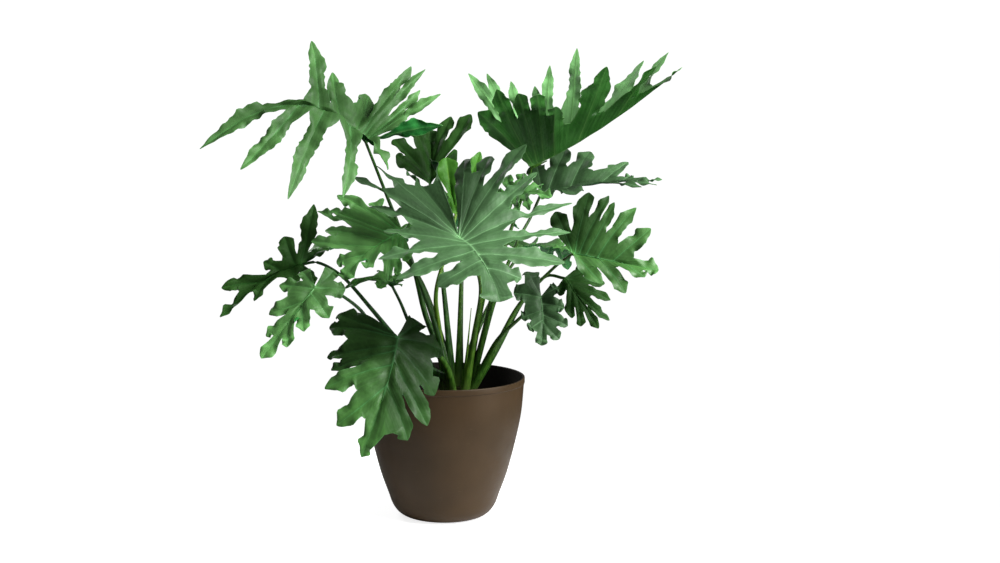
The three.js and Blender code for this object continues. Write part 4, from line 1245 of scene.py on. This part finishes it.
def make_soil():
    """Uneven surface of the potting mix with loose crumbs, down to the pot's floor."""
    draw = random.Random(SEED)
    bottom = POT_FLOOR + SOIL_GAP
    inside = [p for p in inset(outer_wall(), POT_WALL + SOIL_GAP) if p[1] > bottom]
    fill = [p for p in inside if p[1] < SOIL_LEVEL - SOIL_MARGIN]
    top_radius = next(p[0] for p in inside if p[1] >= SOIL_LEVEL)
    profile = [(0, bottom), (POT_FOOT_RADIUS - SOIL_GAP, bottom), *fill]
    profile += [(top_radius * (1 - i / SOIL_RINGS), SOIL_LEVEL) for i in range(SOIL_RINGS + 1)]
    points, faces = turn(profile, SOIL_SPOKES)
    points = [(x, y, soil_height(x, y, top_radius) if z == SOIL_LEVEL else z) for x, y, z in points]
    for _ in range(CRUMBS):
        angle = draw.uniform(0, 2 * math.pi)
        reach = top_radius * CRUMB_REACH * math.sqrt(draw.random())
        x, y = reach * math.cos(angle), reach * math.sin(angle)
        if math.hypot(x - CROWN_X, y) < CROWN_RADIUS + CRUMB_CLEARANCE:
            continue
        centre = Vector((x, y, soil_height(x, y, top_radius) + CRUMB_LIFT))
        join(points, faces, crumb(centre, draw.uniform(*CRUMB_RADIUS), draw))
    make_piece("potting_mix", points, faces, [soil_material()], "soil")


def tube(path, radii, spreads):
    """Stalk along a path, with its groove toward the crown. Spreads widen it round the crown."""
    rings = []
    for i, place in enumerate(path):
        tangent = (path[min(i + 1, len(path) - 1)] - path[max(i - 1, 0)]).normalized()
        outward = across(Vector((place.x - CROWN_X, place.y, 0)).normalized(), tangent)
        sideways = tangent.cross(outward)
        ring = []
        for angle in angles(STALK_SIDES):
            groove = 1 - STALK_GROOVE * max(-math.cos(angle), 0) ** 3
            deep = radii[i] * math.cos(angle) * groove / spreads[i]
            ring.append(place + outward * deep + sideways * (radii[i] * math.sin(angle) * spreads[i]))
        rings.append(ring)
    points, faces = loft(rings)
    faces.append(list(range(STALK_SIDES))[::-1])
    faces.append(list(range(len(points) - STALK_SIDES, len(points))))
    return points, faces


def tapered(base, end, t):
    return end + (base - end) * (1 - t) ** STALK_TAPER


def stalk(sheet):
    """Runs from the crown to the joint, then a little way on under the midrib."""
    blade, midrib = sheet.blade, sheet.midrib
    first = Vector(blade.stalk[0])
    away = Vector((first.x - CROWN_X, first.y, 0)).normalized()
    base = Vector((CROWN_X, 0, STALK_BASE_Z)) + away * STALK_BASE_RING
    path = spline([base, *blade.stalk, Vector(blade.joint) - midrib.up(0) * JOINT_DEPTH])
    ways = [i / (len(path) - 1) for i in range(len(path))]
    radii = [tapered(STALK_BASE_RADIUS, STALK_END_RADIUS, t) for t in ways] + UNDER_BLADE_RADII
    spreads = [1 + STALK_SPREAD * (1 - smooth(0, STALK_SPREAD_END, t)) for t in ways]
    path += [midrib.at(t) - midrib.up(t) * UNDER_BLADE_DEPTH for t in UNDER_BLADE_PLACES]
    return tube(path, radii, spreads + [1] * len(UNDER_BLADE_PLACES))


def shoot():
    ways = [i / (SHOOT_POINTS - 1) for i in range(SHOOT_POINTS)]
    radii = [tapered(SHOOT_BASE_RADIUS, SHOOT_TIP_RADIUS, t) for t in ways]
    return tube(spline(SHOOT, SHOOT_POINTS), radii, [1] * SHOOT_POINTS)


def crown():
    side, top = CROWN_SHOULDER - CROWN_BOTTOM, CROWN_TOP - CROWN_SHOULDER
    profile = [(0, CROWN_BOTTOM)]
    for t in (i / CROWN_SIDE_STEPS for i in range(CROWN_SIDE_STEPS + 1)):
        profile.append((CROWN_RADIUS, CROWN_BOTTOM + side * t))
    for t in (i / CROWN_TOP_STEPS for i in range(1, CROWN_TOP_STEPS + 1)):
        radius = CROWN_RADIUS * (1 - CROWN_NARROWING * t ** CROWN_ROUNDNESS)
        profile.append((radius, CROWN_SHOULDER + top * t))
    points, faces = turn([*profile, (0, CROWN_TOP)], CROWN_SEGMENTS)
    return [(x + CROWN_X, y, z) for x, y, z in points], faces


def make_stalks(sheets):
    """All stalks, the shoot and the crown. Points note their stalk's tone and how far up it they are."""
    points, faces, tones, rises = [], [], [], []
    bodies = [(stalk(sheet), sheet.blade.tone) for sheet in sheets]
    for body, tone in [*bodies, (shoot(), SHOOT_TONE)]:
        join(points, faces, body)
        rings = len(body[0]) // STALK_SIDES
        tones += [tone] * len(body[0])
        rises += [i / rings for i in range(rings) for _ in range(STALK_SIDES)]
    kinds = [0] * len(faces)
    join(points, faces, crown())
    kinds += [1] * (len(faces) - len(kinds))
    materials = [stalk_material(), crown_material()]
    mesh = make_piece("stalks", points, faces, materials, "crown_and_stalks", kinds)
    on_crown = [0] * (len(points) - len(tones))
    note_points(mesh, "tone", tones + on_crown)
    note_points(mesh, "rise", rises + on_crown)
    mesh.set_sharp_from_angle(angle=math.radians(STALK_SHARP))


def make_leaf(sheet, materials):
    blade = sheet.blade
    points, faces, corners, kinds = thicken(sheet)
    mesh = make_piece(f"leaf_{blade.name}", points, faces, materials, f"blade_{blade.name}", kinds)
    note_corners(mesh, "lobe", corners)
    note_points(mesh, "margin", sheet.edge * 2)
    # Painted light and shade for each point, the same on both sides
    note_points(mesh, "painted_shading", [*painted_shading_of(sheet)] * 2)
    mesh.set_sharp_from_angle(angle=math.radians(LEAF_SHARP))


def make_camera():
    data = bpy.data.cameras.new("camera")
    data.lens = CAMERA_LENS
    data.sensor_width = CAMERA_SENSOR
    data.sensor_fit = "HORIZONTAL"
    data.shift_x = CAMERA_SHIFT
    data.clip_start, data.clip_end = CAMERA_CLIP
    camera = link("camera", data)
    camera.location = CAMERA_PLACE
    camera.rotation_euler = (math.radians(90 - CAMERA_PITCH), 0, 0)
    bpy.context.scene.camera = camera


def make_light(name, place, target, size, power):
    data = bpy.data.lights.new(name, "AREA")
    data.shape = "DISK"
    data.size = size
    data.energy = power
    light = link(name, data)
    light.location = place
    light.rotation_euler = (Vector(target) - Vector(place)).to_track_quat("-Z", "Y").to_euler()


def floor_material():
    """Keeps a soft contact shadow near the pot and glows white further out."""
    n = material_nodes("studio_floor")
    place = n.add("ShaderNodeTexCoord").outputs["Object"]
    length = n.add("ShaderNodeVectorMath", [place], operation="LENGTH").outputs["Value"]
    far = n.ramp(length, *FLOOR_FADE)
    seen = n.add("ShaderNodeLightPath").outputs["Is Camera Ray"]
    n.feed(n.shader.inputs["Emission Color"], WHITE)
    n.feed(n.shader.inputs["Emission Strength"], n.times(seen, n.ramp(far, 0, 1, *FLOOR_GLOW)))
    return n.finish(n.mix(far, GREY, BLACK), n.ramp(far, 0, 1, *FLOOR_ROUGHNESS), FLOOR_SPECULAR)


def make_floor():
    mesh = bpy.data.meshes.new("studio_floor")
    rim = [(FLOOR_REACH * math.cos(a), FLOOR_REACH * math.sin(a), 0) for a in angles(FLOOR_SIDES)]
    mesh.from_pydata(rim, [], [list(range(FLOOR_SIDES))])
    mesh.materials.append(floor_material())
    floor = link("studio_floor", mesh)
    floor.location = (0, 0, -FLOOR_DROP)


def make_world():
    """White to the camera, and a softer light from all round for the object."""
    n = Nodes(bpy.data.worlds.new("studio"))
    n.tree.nodes.clear()
    light = n.add("ShaderNodeBackground", [WHITE, SKY_LIGHT]).outputs[0]
    white = n.add("ShaderNodeBackground", [WHITE, SKY_SEEN]).outputs[0]
    seen = n.add("ShaderNodeLightPath").outputs["Is Camera Ray"]
    mix = n.add("ShaderNodeMixShader", [seen, light, white])
    n.add("ShaderNodeOutputWorld", [mix.outputs[0]])
    bpy.context.scene.world = n.owner


make_camera()
make_world()
make_floor()
for name, values in LIGHTS.items():
    make_light(name, *values)
bpy.context.scene.view_settings.view_transform = "Standard"

make_pot()
make_soil()
sheets = [Sheet(blade) for blade in BLADES]
make_stalks(sheets)
leaf_looks = {look: leaf_materials(look) for look in LOOKS}
for sheet in sheets:
    make_leaf(sheet, leaf_looks[sheet.blade.look])
